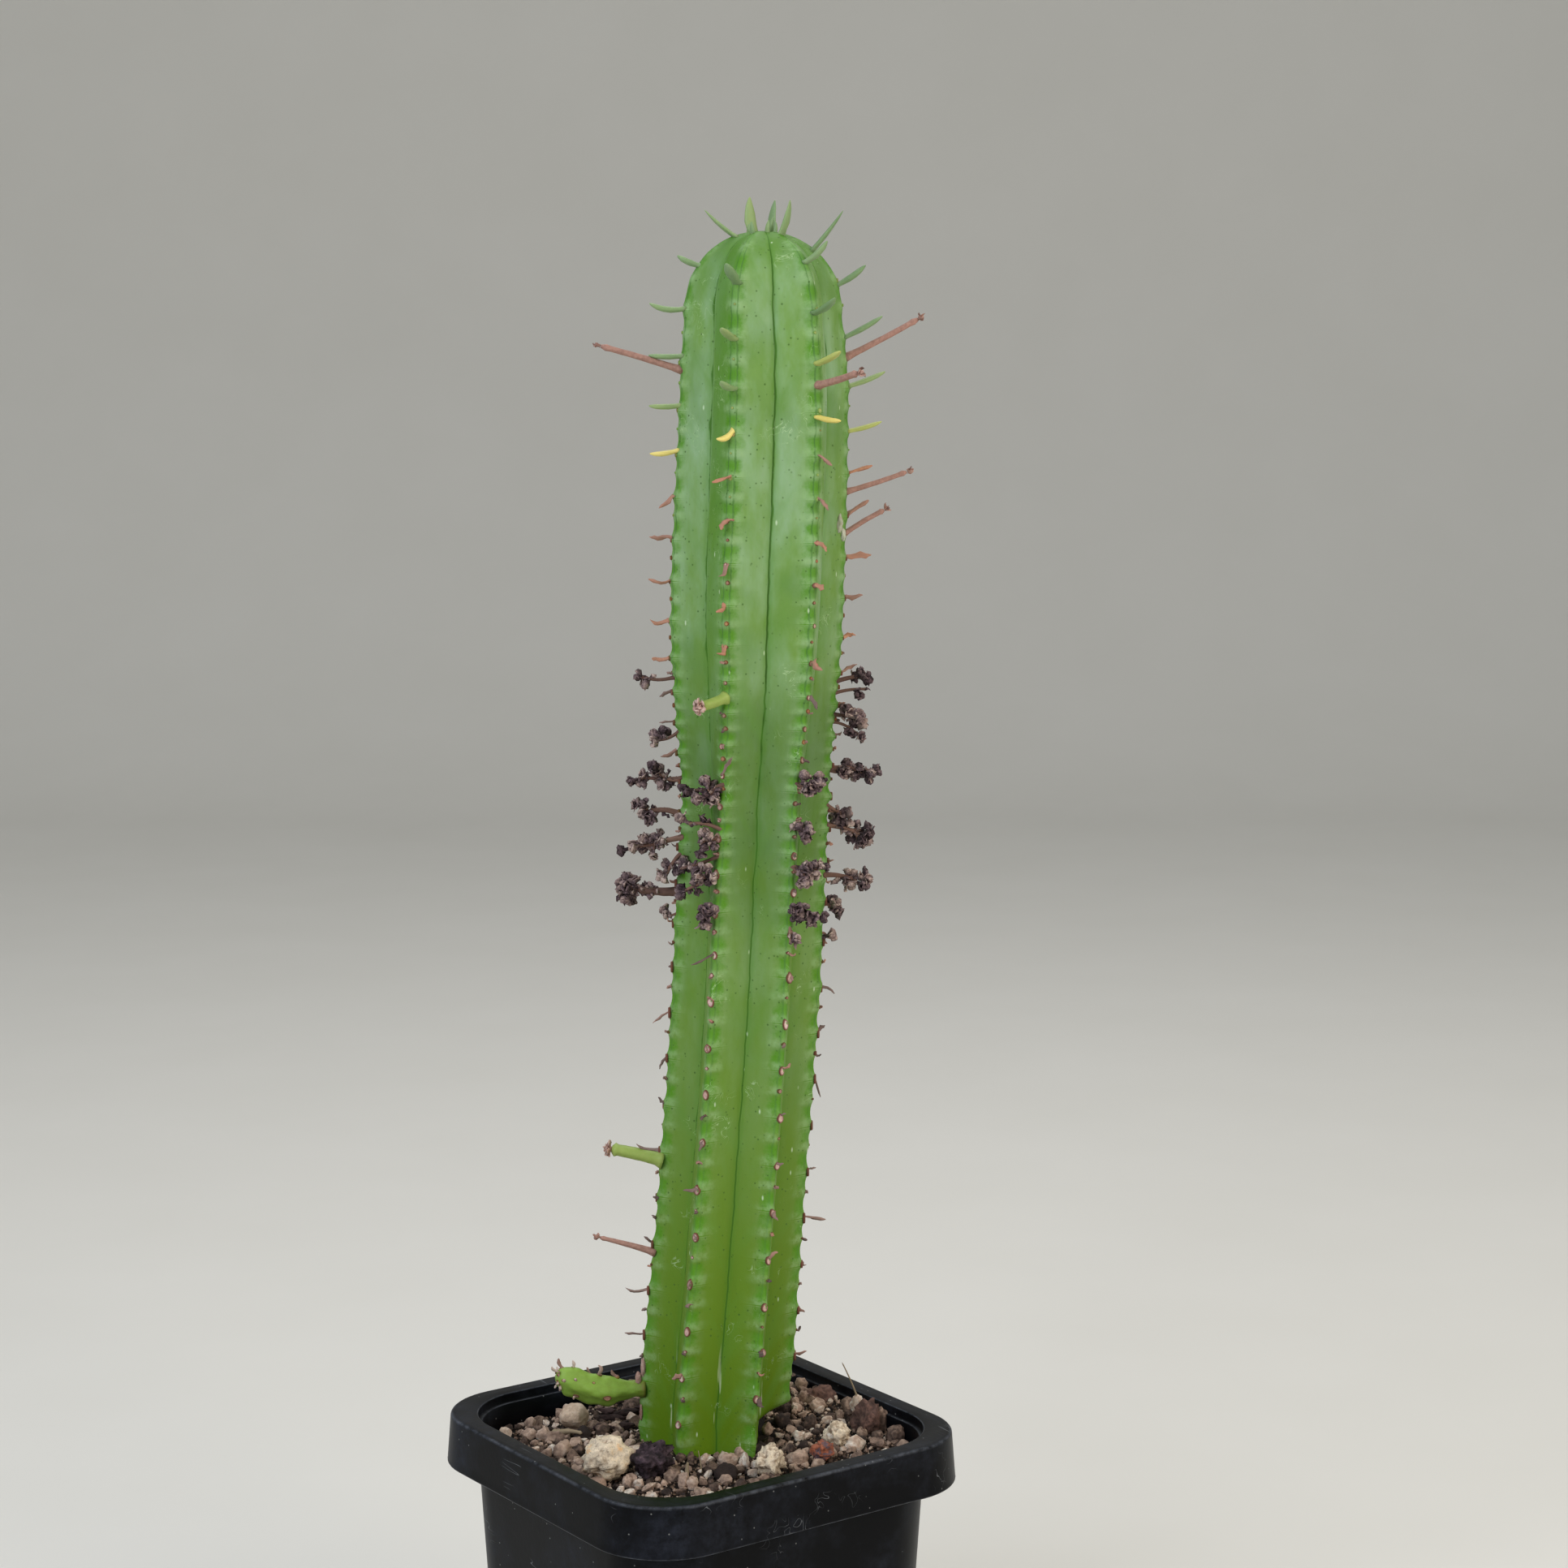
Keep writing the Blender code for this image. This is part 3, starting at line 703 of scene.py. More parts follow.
def pot_material(plastic, dust_amount):
    """Moulded black polypropylene: satin, with dust, scuffs, scratches and a painted highlight that makes the
    rounded edges paler.
    """
    made, tree, shader = new_material("Moulded black polypropylene", 0.5, Specular_IOR_Level=0.09)
    coords = add(tree, "ShaderNodeTexCoord").outputs["Object"]
    smudge = add(tree, "ShaderNodeTexNoise",
                 {"Vector": coords, "Scale": per(16.0), "Detail": 5.0, "Roughness": 0.62})
    dusty = add(tree, "ShaderNodeMapRange",
                {"Value": smudge, "From Min": 0.46, "From Max": 0.68, "To Max": dust_amount})
    film = add(tree, "ShaderNodeTexNoise",
               {"Vector": coords, "Scale": per(2.2), "Detail": 5.0, "Roughness": 0.7})
    film_share = add(tree, "ShaderNodeMapRange", {"Value": film, "From Min": 0.3, "From Max": 0.75})
    dusty = add(tree, "ShaderNodeMath", {0: dusty, 1: film_share}, operation="MULTIPLY")
    # Stray grains of dust and lime
    grains = add(tree, "ShaderNodeTexVoronoi", {"Vector": coords, "Scale": per(2.4), "Randomness": 1.0})
    grain = add(tree, "ShaderNodeMapRange",
                {"Value": grains, "From Min": 0.07, "From Max": 0.03, "To Max": 0.6})
    # Scratches: thin lines where a stretched noise crosses its middle, only in patches
    skewed = add(tree, "ShaderNodeMapping",
                 {"Vector": coords, "Rotation": (0.5, 0.9, 0.4), "Scale": (1.0, 0.12, 1.0)})
    lines = add(tree, "ShaderNodeTexNoise",
                {"Vector": skewed, "Scale": per(2.6), "Detail": 1.0, "Distortion": 0.6})
    off = add(tree, "ShaderNodeMath", {0: lines, 1: 0.5}, operation="SUBTRACT")
    off = add(tree, "ShaderNodeMath", {0: off}, operation="ABSOLUTE")
    line = add(tree, "ShaderNodeMapRange", {"Value": off, "From Min": 0.006, "From Max": 0.001})
    patch = add(tree, "ShaderNodeTexNoise", {"Vector": coords, "Scale": per(9.0), "Detail": 1.0})
    patch = add(tree, "ShaderNodeMapRange",
                {"Value": patch, "From Min": 0.6, "From Max": 0.68, "To Max": 0.8})
    scratch = add(tree, "ShaderNodeMath", {0: line, 1: patch}, operation="MULTIPLY")
    # Painted highlight: each ring's worn value, in patches, paints the rounded edges paler
    worn = add(tree, "ShaderNodeAttribute", attribute_name="worn").outputs["Fac"]
    painted_light_mask = add(tree, "ShaderNodeMath", {0: worn, 1: film_share}, operation="MULTIPLY")
    painted_light_mask = add(tree, "ShaderNodeMath", {0: painted_light_mask, 1: 0.7}, operation="MULTIPLY")
    tone = painted(tree, plastic,
                   ((dusty, "3d4250"), (grain, "8d8e8c"), (scratch, "6f7276"), (painted_light_mask, "6a6e77")))
    rough = add(tree, "ShaderNodeMapRange", {"Value": dusty, "To Min": 0.36, "To Max": 0.8})
    tree.links.new(rough.outputs[0], shader.inputs["Roughness"])
    moulding = add(tree, "ShaderNodeTexNoise", {"Vector": coords, "Scale": per(0.7), "Detail": 2.0})
    height = add(tree, "ShaderNodeMath", {0: scratch, 1: -1.2, 2: moulding}, operation="MULTIPLY_ADD")
    finish(tree, shader, tone, height, 0.12, 0.1)
    return made


class EuphorbiaPotSettings(bpy.types.PropertyGroup):
    """Nursery pot."""

    hole_radius: FloatProperty(name="Hole radius", description="Radius of each drainage hole",
                               default=3.6 * MM, min=0.5 * MM, unit="LENGTH")
    hole_offset: FloatProperty(name="Hole offset",
                               description="Distance of each hole from the middle, each way",
                               default=16.5 * MM, min=0, unit="LENGTH")
    plastic: FloatVectorProperty(name="Plastic", description="Colour of the clean plastic", subtype="COLOR",
                                 default=rgb("06070a"), min=0, max=1)
    dust: FloatProperty(name="Dust", description="How much the dust hides the plastic", default=0.4,
                        min=0, max=1, subtype="FACTOR")


class OBJECT_OT_euphorbia_pot(bpy.types.Operator):
    """Build the square nursery pot with its hanging rim and drainage holes."""

    bl_idname = "object.euphorbia_pot"
    bl_label = "Nursery Pot"

    def execute(self, context):
        look = context.scene.euphorbia_pot
        bm = bmesh.new()
        # Each ring's worn value is its share of the painted edge highlight
        worn = bm.verts.layers.float.new("worn")
        rows = pot_rows()
        made = loft(bm, [rounded_square(half, corner, height) for half, corner, height, _ in rows])
        for ring, (_, _, _, edge_highlight) in zip(made, rows):
            for vert in ring:
                vert[worn] = edge_highlight
        plastic = pot_material((*look.plastic, 1), look.dust)
        body = mesh_object("pot_shell", bm, plastic)
        pot = grown(body, drained_tree(), "pot", radius=look.hole_radius,
                    offset=look.hole_offset, depth=8 * MM)
        pot.data.set_sharp_from_angle(angle=math.radians(50))
        keep(pot, "pot_plastic", "nursery_pot")
        return {"FINISHED"}


# ---------------------------------------------------------------- potting mix and stones

MIX_DROP = 5.3
MIX_GAP = 0.3
# Loose stones: place right and back of the pot's middle, width, depth and height in millimetres, kind
LOOSE_STONES = ((15.0, 11.5, 2.8, 2.4, 2.0, "dark"), (12.0, 2.0, 2.2, 2.0, 2.4, "tan"),
                (12.0, -1.6, 2.0, 1.8, 1.6, "rust"), (14.6, 5.4, 3.0, 2.6, 2.4, "dark"),
                (19.4, 4.6, 2.8, 2.6, 2.6, "olive"), (10.6, -5.0, 2.6, 2.4, 2.2, "dark"),
                (7.2, -7.0, 2.8, 2.4, 2.0, "pink"), (5.0, -10.8, 4.0, 3.0, 2.9, "pale"),
                (7.7, -11.6, 2.0, 1.8, 2.9, "white"), (1.0, -9.6, 2.2, 1.8, 1.7, "pale"),
                (4.5, -16.4, 4.2, 2.6, 3.4, "black"), (16.8, -9.2, 4.2, 3.0, 2.6, "pink"),
                (23.4, -1.4, 3.8, 3.2, 4.0, "white"), (27.2, -2.0, 4.4, 3.2, 2.8, "white"),
                (31.2, 0.8, 2.4, 2.2, 2.2, "olive"), (34.4, 1.4, 3.4, 2.6, 3.2, "rust"),
                (32.0, 6.4, 3.2, 2.8, 4.2, "rust"), (28.5, 2.4, 2.2, 2.0, 2.2, "tan"),
                (26.6, 12.2, 2.8, 2.4, 2.8, "tan"), (28.2, 11.6, 2.8, 2.4, 3.4, "white"),
                (18.6, 24.4, 2.4, 2.2, 2.4, "pink"), (16.4, 25.4, 1.9, 1.7, 1.8, "white"),
                (17.2, 14.6, 1.6, 1.4, 1.6, "pale"), (21.0, 12.6, 3.3, 2.6, 2.4, "pink"),
                (18.6, 16.0, 2.8, 2.4, 2.2, "tan"), (24.8, 8.8, 1.8, 1.7, 1.7, "tan"),
                (17.2, 0.0, 2.4, 2.0, 1.9, "white"), (18.0, -3.6, 2.0, 1.8, 1.8, "dark"),
                (16.0, -4.8, 2.0, 1.8, 2.0, "olive"), (22.6, -5.4, 2.6, 2.0, 1.8, "pale"),
                (-30.2, 13.8, 2.4, 2.2, 2.0, "pink"), (-30.0, 8.6, 2.9, 2.4, 2.0, "pink"),
                (-27.4, 7.6, 3.0, 2.6, 2.6, "pale"), (-25.0, 6.0, 5.0, 2.2, 1.8, "tan"),
                (-23.8, -1.8, 3.5, 2.8, 2.8, "pink"), (-20.7, -7.4, 2.2, 1.8, 1.4, "pink"),
                (-20.6, 5.4, 3.2, 2.8, 2.6, "black"), (-16.9, 7.0, 3.0, 2.4, 2.2, "rust"),
                (-19.0, 11.0, 2.7, 2.4, 1.9, "tan"), (-23.6, 18.4, 2.9, 2.4, 2.4, "white"),
                (-21.2, -1.8, 2.3, 2.0, 2.0, "olive"), (-12.1, -18.4, 2.0, 1.8, 2.5, "pink"),
                (-10.2, -19.0, 1.9, 1.7, 1.7, "white"), (-3.2, -9.2, 2.2, 2.0, 1.6, "olive"),
                (-1.2, -19.6, 2.2, 2.0, 2.2, "white"), (-4.6, -16.6, 3.0, 2.6, 2.2, "tan"),
                (-14.6, 3.2, 1.9, 1.6, 1.8, "pale"), (0.6, -24.4, 3.2, 2.4, 2.2, "pink"),
                (6.0, 22.0, 4.4, 3.6, 3.0, "tan"), (-4.0, 26.0, 3.8, 3.2, 2.8, "pale"),
                (-12.0, 20.0, 3.6, 3.0, 2.6, "rust"), (0.0, 32.0, 3.6, 3.0, 2.6, "olive"),
                (10.0, 29.0, 3.4, 3.0, 2.8, "white"), (10.4, -19.0, 2.8, 2.2, 2.0, "tan"))
STONE_TONES = {"white": 0.97, "pale": 0.88, "pink": 0.74, "tan": 0.58, "rust": 0.4, "olive": 0.26,
               "dark": 0.1, "black": -0.1}
GRAIN_KINDS = 12
GRAIN_TONE_SEED = 77
FINE_TONES = ((0.0, "2b221d"), (0.25, "4a3a30"), (0.5, "6b5546"), (0.72, "86705e"), (0.88, "a58d79"),
              (1.0, "c6b3a0"))
GRIT_TONES = ((0.0, "332a27"), (0.2, "584840"), (0.4, "806a5d"), (0.58, "a48c7c"), (0.75, "ba9f8d"),
              (0.9, "cfbbaa"), (1.0, "e2d8cb"))
# Every solid stone: roughness of its lumps, its material's key, its tone, how planed its faces are, and in
# millimetres how much wider it is than its solid and how far to the right and up it stands from it
STONE_LOOKS = {"stone_big_pumice": (0.2, "pumice", 0.78, 0.5, 1.4, 0.0, -0.3),
               "stone_purple_lava": (0.28, "lava", 0.42, 0.8, 1.8, -0.7, 0.0),
               "stone_oval_pebble": (0.06, "pebble", 0.72, 0.5, 0.9, 0.1, 0.2),
               "stone_small_pumice": (0.26, "pumice", 0.74, 0.7, 1.2, -1.0, 1.2),
               "stone_red_lava": (0.24, "lava", 0.92, 0.8, 0.9, 0.0, 0.3),
               "stone_white_pumice": (0.24, "pumice", 0.66, 0.8, 0.6, -0.6, 0.3),
               "stone_tall_brown": (0.2, "brown_stone", 0.42, 0.9, 1.0, 0.6, 0.4),
               "stone_brown_grit": (0.16, "brown_stone", 0.5, 0.9, 1.6, 1.4, 1.3)}
# Chips of bark under the side shoot: place right and back of the pot's middle, length, width and
# thickness in millimetres, and turn in degrees
BARK_CHIPS = ((-13.0, 15.4, 5.4, 1.7, 1.3, 24), (-15.4, 12.4, 5.0, 1.6, 1.1, -8),
              (-13.6, 7.6, 4.8, 1.8, 1.2, 12), (-16.8, 17.4, 4.2, 1.6, 1.2, -20),
              (-12.2, 10.0, 4.4, 1.4, 1.0, 30), (-9.6, 17.6, 4.2, 1.5, 1.1, 4),
              (-17.6, 9.4, 3.4, 1.4, 1.0, 50))


def mix_sag(point):
    """How far the mix lies under its level at a place, in millimetres: sunk at the left corner and heaped
    round the stem's foot and at the right of the back."""
    here = Vector((point.x, point.y))

    def nearness(centre, reach):
        return max(0.0, 1 - (here - centre.xy).length / (reach * MM))

    near = nearness(from_plant(-44.0, 2.0, 0.0), 26)
    rough = (noise.noise(Vector((point.x, point.y, 0)) * per(7.0))
             + 0.5 * noise.noise(Vector((point.x, point.y, 0.01)) * per(2.6)))
    heaped = nearness(axis_at(-MIX_DROP), 26)
    behind = nearness(from_plant(25.0, 19.0, 0.0), 28)
    return 1.6 * near + 0.5 * rough - 2.2 * heaped - 3.2 * behind * behind * (3 - 2 * behind)


def mix_height(x, y):
    point = Vector((x, y))
    return RIM_Z - (MIX_DROP + 0.35 + mix_sag(point)) * MM


def mix_bed():
    """Block of fine mix up to its uneven top, which runs on under the stem."""
    bm = bmesh.new()
    high = RIM_Z / MM - MIX_DROP
    rings = [rounded_square(inner_half(FLOOR) - MIX_GAP, inner_corner(FLOOR) - MIX_GAP, FLOOR + 0.4)]
    rings.append(rounded_square(inner_half(high - 2.5) - MIX_GAP,
                                inner_corner(high - 2.5) - MIX_GAP, high - 2.5))
    edge = rounded_square(inner_half(high) - MIX_GAP, inner_corner(high) - MIX_GAP, high)
    for share in [1.0 - i / 46 for i in range(46)]:
        ring = []
        for point in edge:
            place = Vector((point.x * share, point.y * share))
            ring.append(Vector((place.x, place.y, mix_height(place.x, place.y))))
        rings.append(ring)
    loft(bm, rings)
    return bm


def gravel_tree():
    """Strews grains over the top of the mix: Poisson spaced, turned at random, sizes between two limits."""
    tree, given, result = new_tree("Gravel bed", grains="Collection", spacing="Float", density="Float",
                                   smallest="Float", largest="Float", bury="Float", clear="Float", seed="Int",
                                   stem_place="Vector", material="Material")
    bed = given["Geometry"]
    normal = add(tree, "ShaderNodeSeparateXYZ", {0: add(tree, "GeometryNodeInputNormal")})
    facing_up = add(tree, "ShaderNodeMath", {0: normal.outputs["Z"], 1: 0.3}, operation="GREATER_THAN")
    place = add(tree, "GeometryNodeInputPosition")
    level = add(tree, "ShaderNodeVectorMath", {0: place, 1: (1.0, 1.0, 0.0)}, operation="MULTIPLY")
    gone = add(tree, "ShaderNodeVectorMath", {0: level, 1: given["Stem Place"]}, operation="DISTANCE")
    outside = add(tree, "ShaderNodeMath", {0: gone.outputs["Value"], 1: given["Clear"]},
                  operation="GREATER_THAN")
    open_ground = add(tree, "ShaderNodeMath", {0: facing_up, 1: outside}, operation="MULTIPLY")
    strewn = add(tree, "GeometryNodeDistributePointsOnFaces",
                 {"Mesh": bed, "Selection": open_ground, "Distance Min": given["Spacing"],
                  "Density Max": given["Density"], "Seed": given["Seed"]}, distribute_method="POISSON")
    shapes = add(tree, "GeometryNodeCollectionInfo",
                 {"Collection": given["Grains"], "Separate Children": True, "Reset Children": True})
    pick = add(tree, "FunctionNodeRandomValue", {"Min": 0, "Max": GRAIN_KINDS - 1, "Seed": given["Seed"]},
               data_type="INT")
    turn = add(tree, "FunctionNodeRandomValue", {"Min": (-0.7, -0.7, 0.0), "Max": (0.7, 0.7, 6.28),
                                                 "Seed": given["Seed"]}, data_type="FLOAT_VECTOR")
    size = add(tree, "FunctionNodeRandomValue", {"Min": 0.0, "Max": 1.0, "Seed": given["Seed"]},
               data_type="FLOAT")
    skewed = add(tree, "ShaderNodeMath", {0: size, 1: 2.0}, operation="POWER")
    width = add(tree, "ShaderNodeMapRange",
                {"Value": skewed, "To Min": given["Smallest"], "To Max": given["Largest"]})
    sunk = add(tree, "ShaderNodeMath", {0: width, 1: given["Bury"]}, operation="MULTIPLY")
    drop = add(tree, "ShaderNodeCombineXYZ", {2: sunk})
    settled = add(tree, "GeometryNodeSetPosition", {"Geometry": strewn.outputs["Points"], "Offset": drop})
    hue = add(tree, "FunctionNodeRandomValue", {"Min": 0.0, "Max": 1.0, "Seed": GRAIN_TONE_SEED},
              data_type="FLOAT")
    toned = add(tree, "GeometryNodeStoreNamedAttribute", {"Geometry": settled, "Name": "tone", "Value": hue},
                data_type="FLOAT", domain="POINT")
    placed = add(tree, "GeometryNodeInstanceOnPoints",
                 {"Points": toned, "Instance": shapes, "Pick Instance": True, "Instance Index": pick,
                  "Rotation": add(tree, "FunctionNodeEulerToRotation", {"Euler": turn}),
                  "Scale": add(tree, "ShaderNodeCombineXYZ", {0: width, 1: width, 2: width})})
    whole = add(tree, "GeometryNodeRealizeInstances", {"Geometry": placed})
    dressed = add(tree, "GeometryNodeSetMaterial", {"Geometry": whole, "Material": given["Material"]})
    tree.links.new(dressed.outputs[0], result.inputs[0])
    return tree


def stone_material(name, stops, patch_mm, pit_mm, pits, roughness=0.92):
    """Broken rock: tones by stone, cloudy within a stone, with a pitted, dusty surface."""
    made, tree, shader = new_material(name, roughness, Specular_IOR_Level=0.25)
    coords = add(tree, "ShaderNodeTexCoord").outputs["Object"]
    tone = add(tree, "ShaderNodeAttribute", attribute_name="tone").outputs["Fac"]
    cloud = add(tree, "ShaderNodeTexNoise",
                {"Vector": coords, "Scale": per(patch_mm), "Detail": 5.0, "Roughness": 0.62})
    shift = add(tree, "ShaderNodeMath", {0: cloud, 1: 0.5}, operation="SUBTRACT")
    shift = add(tree, "ShaderNodeMath", {0: shift, 1: 1.1, 2: tone}, operation="MULTIPLY_ADD")
    colour = add(tree, "ShaderNodeValToRGB", {"Fac": shift}, stops=stops)
    pores = add(tree, "ShaderNodeTexVoronoi", {"Vector": coords, "Scale": per(pit_mm), "Randomness": 1.0})
    pore = add(tree, "ShaderNodeMapRange",
               {"Value": pores, "From Min": 0.12, "From Max": 0.34, "To Min": 1 - pits, "To Max": 1.0})
    fine = add(tree, "ShaderNodeTexNoise",
               {"Vector": coords, "Scale": per(0.5), "Detail": 4.0, "Roughness": 0.7})
    shade = add(tree, "ShaderNodeMapRange",
                {"Value": fine, "From Min": 0.3, "From Max": 0.7, "To Min": 0.72, "To Max": 1.12})
    shade = add(tree, "ShaderNodeMath", {0: shade, 1: pore}, operation="MULTIPLY")
    dark = add(tree, "ShaderNodeVectorMath", {0: colour, "Scale": shade}, operation="SCALE")
    height = add(tree, "ShaderNodeMath", {0: fine, 1: pore}, operation="MULTIPLY")
    finish(tree, shader, dark, height, 0.8, 0.28)
    return made


def stone(node, place, size, turn, seed, rough, material, tone, planed=0.9, detail=4):
    """One stone that stands with its lowest point at its place, paler on its knobs than in its clefts."""
    bm = grain_shape(seed, detail, 0.05, 1.43, planed)
    layer = bm.verts.layers.float.new("tone")
    for vert in bm.verts:
        start = vert.co * 3.4 + Vector((seed * 2.0, 0, 0))
        cleft = 1 - 2.2 * min(abs(noise.noise(start)), abs(noise.noise(start * 1.9 + Vector((7, 3, 1)))))
        lumps = noise.fractal(start * 1.3, 0.7, 2.1, 5)
        vert.co *= 1 + rough * (lumps - 0.75 * max(cleft, 0.0) ** 3)
        vert[layer] = tone - 1.6 * rough * max(cleft, 0.0) ** 4
    low = [min(v.co[axis] for v in bm.verts) for axis in range(3)]
    high = [max(v.co[axis] for v in bm.verts) for axis in range(3)]
    for vert in bm.verts:
        vert.co = Vector([((vert.co[axis] - low[axis]) / (high[axis] - low[axis]) - (0.5, 0.5, 0.0)[axis])
                          * size[axis] * MM for axis in range(3)])
        vert.co = Matrix.Rotation(turn, 3, "Z") @ vert.co + place
    return mesh_object(node, bm, material)


def join(name, pieces):
    """Several mesh objects of one material as one."""
    bm = bmesh.new()
    material = pieces[0].data.materials[0]
    for piece in pieces:
        bm.from_mesh(piece.data)
        bpy.data.objects.remove(piece, do_unlink=True)
    return mesh_object(name, bm, material)


class EuphorbiaSoilSettings(bpy.types.PropertyGroup):
    """Potting mix and its stones."""

    fine: FloatProperty(name="Fines spacing", description="Least distance between the finest grains",
                        default=0.55 * MM, min=0.3 * MM, unit="LENGTH")
    grit: FloatProperty(name="Grit spacing", description="Least distance between the middle grains",
                        default=1.15 * MM, min=0.5 * MM, unit="LENGTH")
    coarse: FloatProperty(name="Coarse spacing", description="Least distance between the coarse grains",
                          default=2.6 * MM, min=1 * MM, unit="LENGTH")
    seed: IntProperty(name="Seed", description="Seed of the grains' places", default=5, min=0)


class OBJECT_OT_euphorbia_mix(bpy.types.Operator):
    """Fill the pot with fine mix and strew three sizes of grit on it."""

    bl_idname = "object.euphorbia_mix"
    bl_label = "Potting Mix"

    def execute(self, context):
        look = context.scene.euphorbia_soil
        peat = stone_material("Peat and fines", ((0.0, "1d1612"), (0.5, "3b2c22"), (1.0, "6a543f")), 2.0,
                              0.9, 0.5, 0.97)
        bed = mesh_object("mix_bed", mix_bed(), peat)
        tree = gravel_tree()
        mixed = (("mix_fines", look.fine, 3.0e6, 0.45, 0.95, 0.15, 0, 0.0, FINE_TONES),
                 ("mix_grit", look.grit, 9.0e5, 0.9, 2.1, 0.2, 1, 0.2, GRIT_TONES),
                 ("mix_coarse", look.coarse, 1.2e5, 1.9, 3.4, 0.22, 2, 0.14, GRIT_TONES))
        foot = axis_at(-MIX_DROP)
        for name, spacing, density, smallest, largest, bury, detail, rough, tones in mixed:
            grains = shape_set(name, [grain_shape(seed * 7 + detail, detail, rough, keen=0.28)
                                      for seed in range(GRAIN_KINDS)])
            source = new_object(name + "_bed", bed.data.copy())
            made = grown(source, tree, name, grains=grains, spacing=spacing, density=density,
                         smallest=smallest * MM, largest=largest * MM, bury=bury,
                         clear=(10.0 + 0.4 * largest) * MM, seed=look.seed + detail,
                         stem_place=(foot.x, foot.y, 0.0),
                         material=stone_material("Mixed grit " + name[4:], tones, 1.4, 0.8, 0.3))
            drop_shapes(grains)
            if detail < 2:
                made.data.shade_flat()
            else:
                made.data.set_sharp_from_angle(angle=math.radians(26))
            keep(made, "potting_mix")
        keep(bed, "potting_mix", "potting_mix")
        return {"FINISHED"}


# Rock by its kind's key: name, tones, size of its patches and of its pits in millimetres, how deep
# the pits show and, where it isn't the usual one, its roughness
STONE_KINDS = {
    "pumice": ("Pumice",
               ((0.0, "3d352b"), (0.22, "85705c"), (0.42, "b9a48d"), (0.62, "e3d2ba"), (0.8, "ecd9bc"),
                (0.92, "e6bd90"), (1.0, "c98d5c")), 2.0, 0.5, 0.3),
    "lava": ("Scoria",
             ((0.0, "1f181b"), (0.3, "3d3137"), (0.5, "584850"), (0.68, "735c60"), (0.8, "86503f"),
              (1.0, "a9654c")), 2.0, 0.7, 0.5),
    "pebble": ("River pebble", ((0.0, "86705f"), (0.4, "b79c86"), (0.7, "cdb49d"), (1.0, "dccbb9")),
               1.8, 1.6, 0.1, 0.75),
    "brown_stone": ("Brown sandstone",
                    ((0.0, "3a2d2a"), (0.35, "634b44"), (0.6, "856459"), (0.8, "a28070"), (1.0, "c9b3a2")),
                    1.6, 0.9, 0.3),
    "loose": ("Mixed loose stones", GRIT_TONES, 2.4, 1.1, 0.3),
}


class OBJECT_OT_euphorbia_stones(bpy.types.Operator):
    """Carve the named stones and the smaller loose ones."""

    bl_idname = "object.euphorbia_stones"
    bl_label = "Stones"

    def execute(self, context):
        kinds = {kind: stone_material(*look) for kind, look in STONE_KINDS.items()}
        bark = stone_material("Dark bark chips", ((0.0, "1d1513"), (0.4, "3a2b29"), (0.75, "594745"),
                                                  (1.0, "7b6660")), 1.2, 0.7, 0.3)
        for index, (node, (rough, kind, tone, planed, wider, right, up)) in enumerate(STONE_LOOKS.items()):
            low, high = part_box(node)
            middle = (low + high) / 2
            reach = (high - low) / MM
            drop = 0.9 if reach.z > 5 else 0.6
            place = Vector((middle.x, middle.y, low.z - drop * MM)) + outward(math.pi / 2) * (right * MM)
            size = (reach.x + wider, reach.y + wider * 0.6, reach.z * 0.97 + drop + up)
            made = stone(node + "_look", place, size, 0.0, 11 + index, rough, kinds[kind], tone, planed)
            keep(made, kind, node)
        loose, chips = [], []
        for index, (right, back, width, depth, height, kind) in enumerate(LOOSE_STONES):
            place = from_plant(right, back, 0.0)
            place.z = mix_height(place.x, place.y) - 0.3 * height * MM
            size = (width, depth, height * 1.25)
            turn = PLANT_TURN + 0.15 * (index % 5)
            loose.append(stone(f"loose_{index}", place, size, turn, 40 + index, 0.17, kinds["loose"],
                               STONE_TONES[kind], 0.9, 3))
        for index, (right, back, length, width, thick, turn) in enumerate(BARK_CHIPS):
            place = from_plant(right, back, 0.0)
            place.z = mix_height(place.x, place.y) + (0.4 + 0.25 * (index % 2)) * MM
            turn = PLANT_TURN + math.radians(turn)
            chips.append(stone(f"chip_{index}", place, (length, width, thick), turn, 90 + index, 0.14, bark,
                               0.3 + 0.1 * (index % 4), 0.9, 3))
        keep(join("loose_stones", loose), "brown_stone")
        keep(join("bark_chips", chips), "potting_mix")
        return {"FINISHED"}


# ---------------------------------------------------------------- stem

# Height of the swelling from one scar (0) up to the next (1); the eye's own swelling lies at 0.58
SCAR_WAVE = ((0.0, 1.0), (0.08, 0.86), (0.2, 0.35), (0.36, 0.14), (0.5, 0.42), (0.58, 0.62),
             (0.66, 0.45), (0.78, 0.26), (0.9, 0.6), (1.0, 1.0))


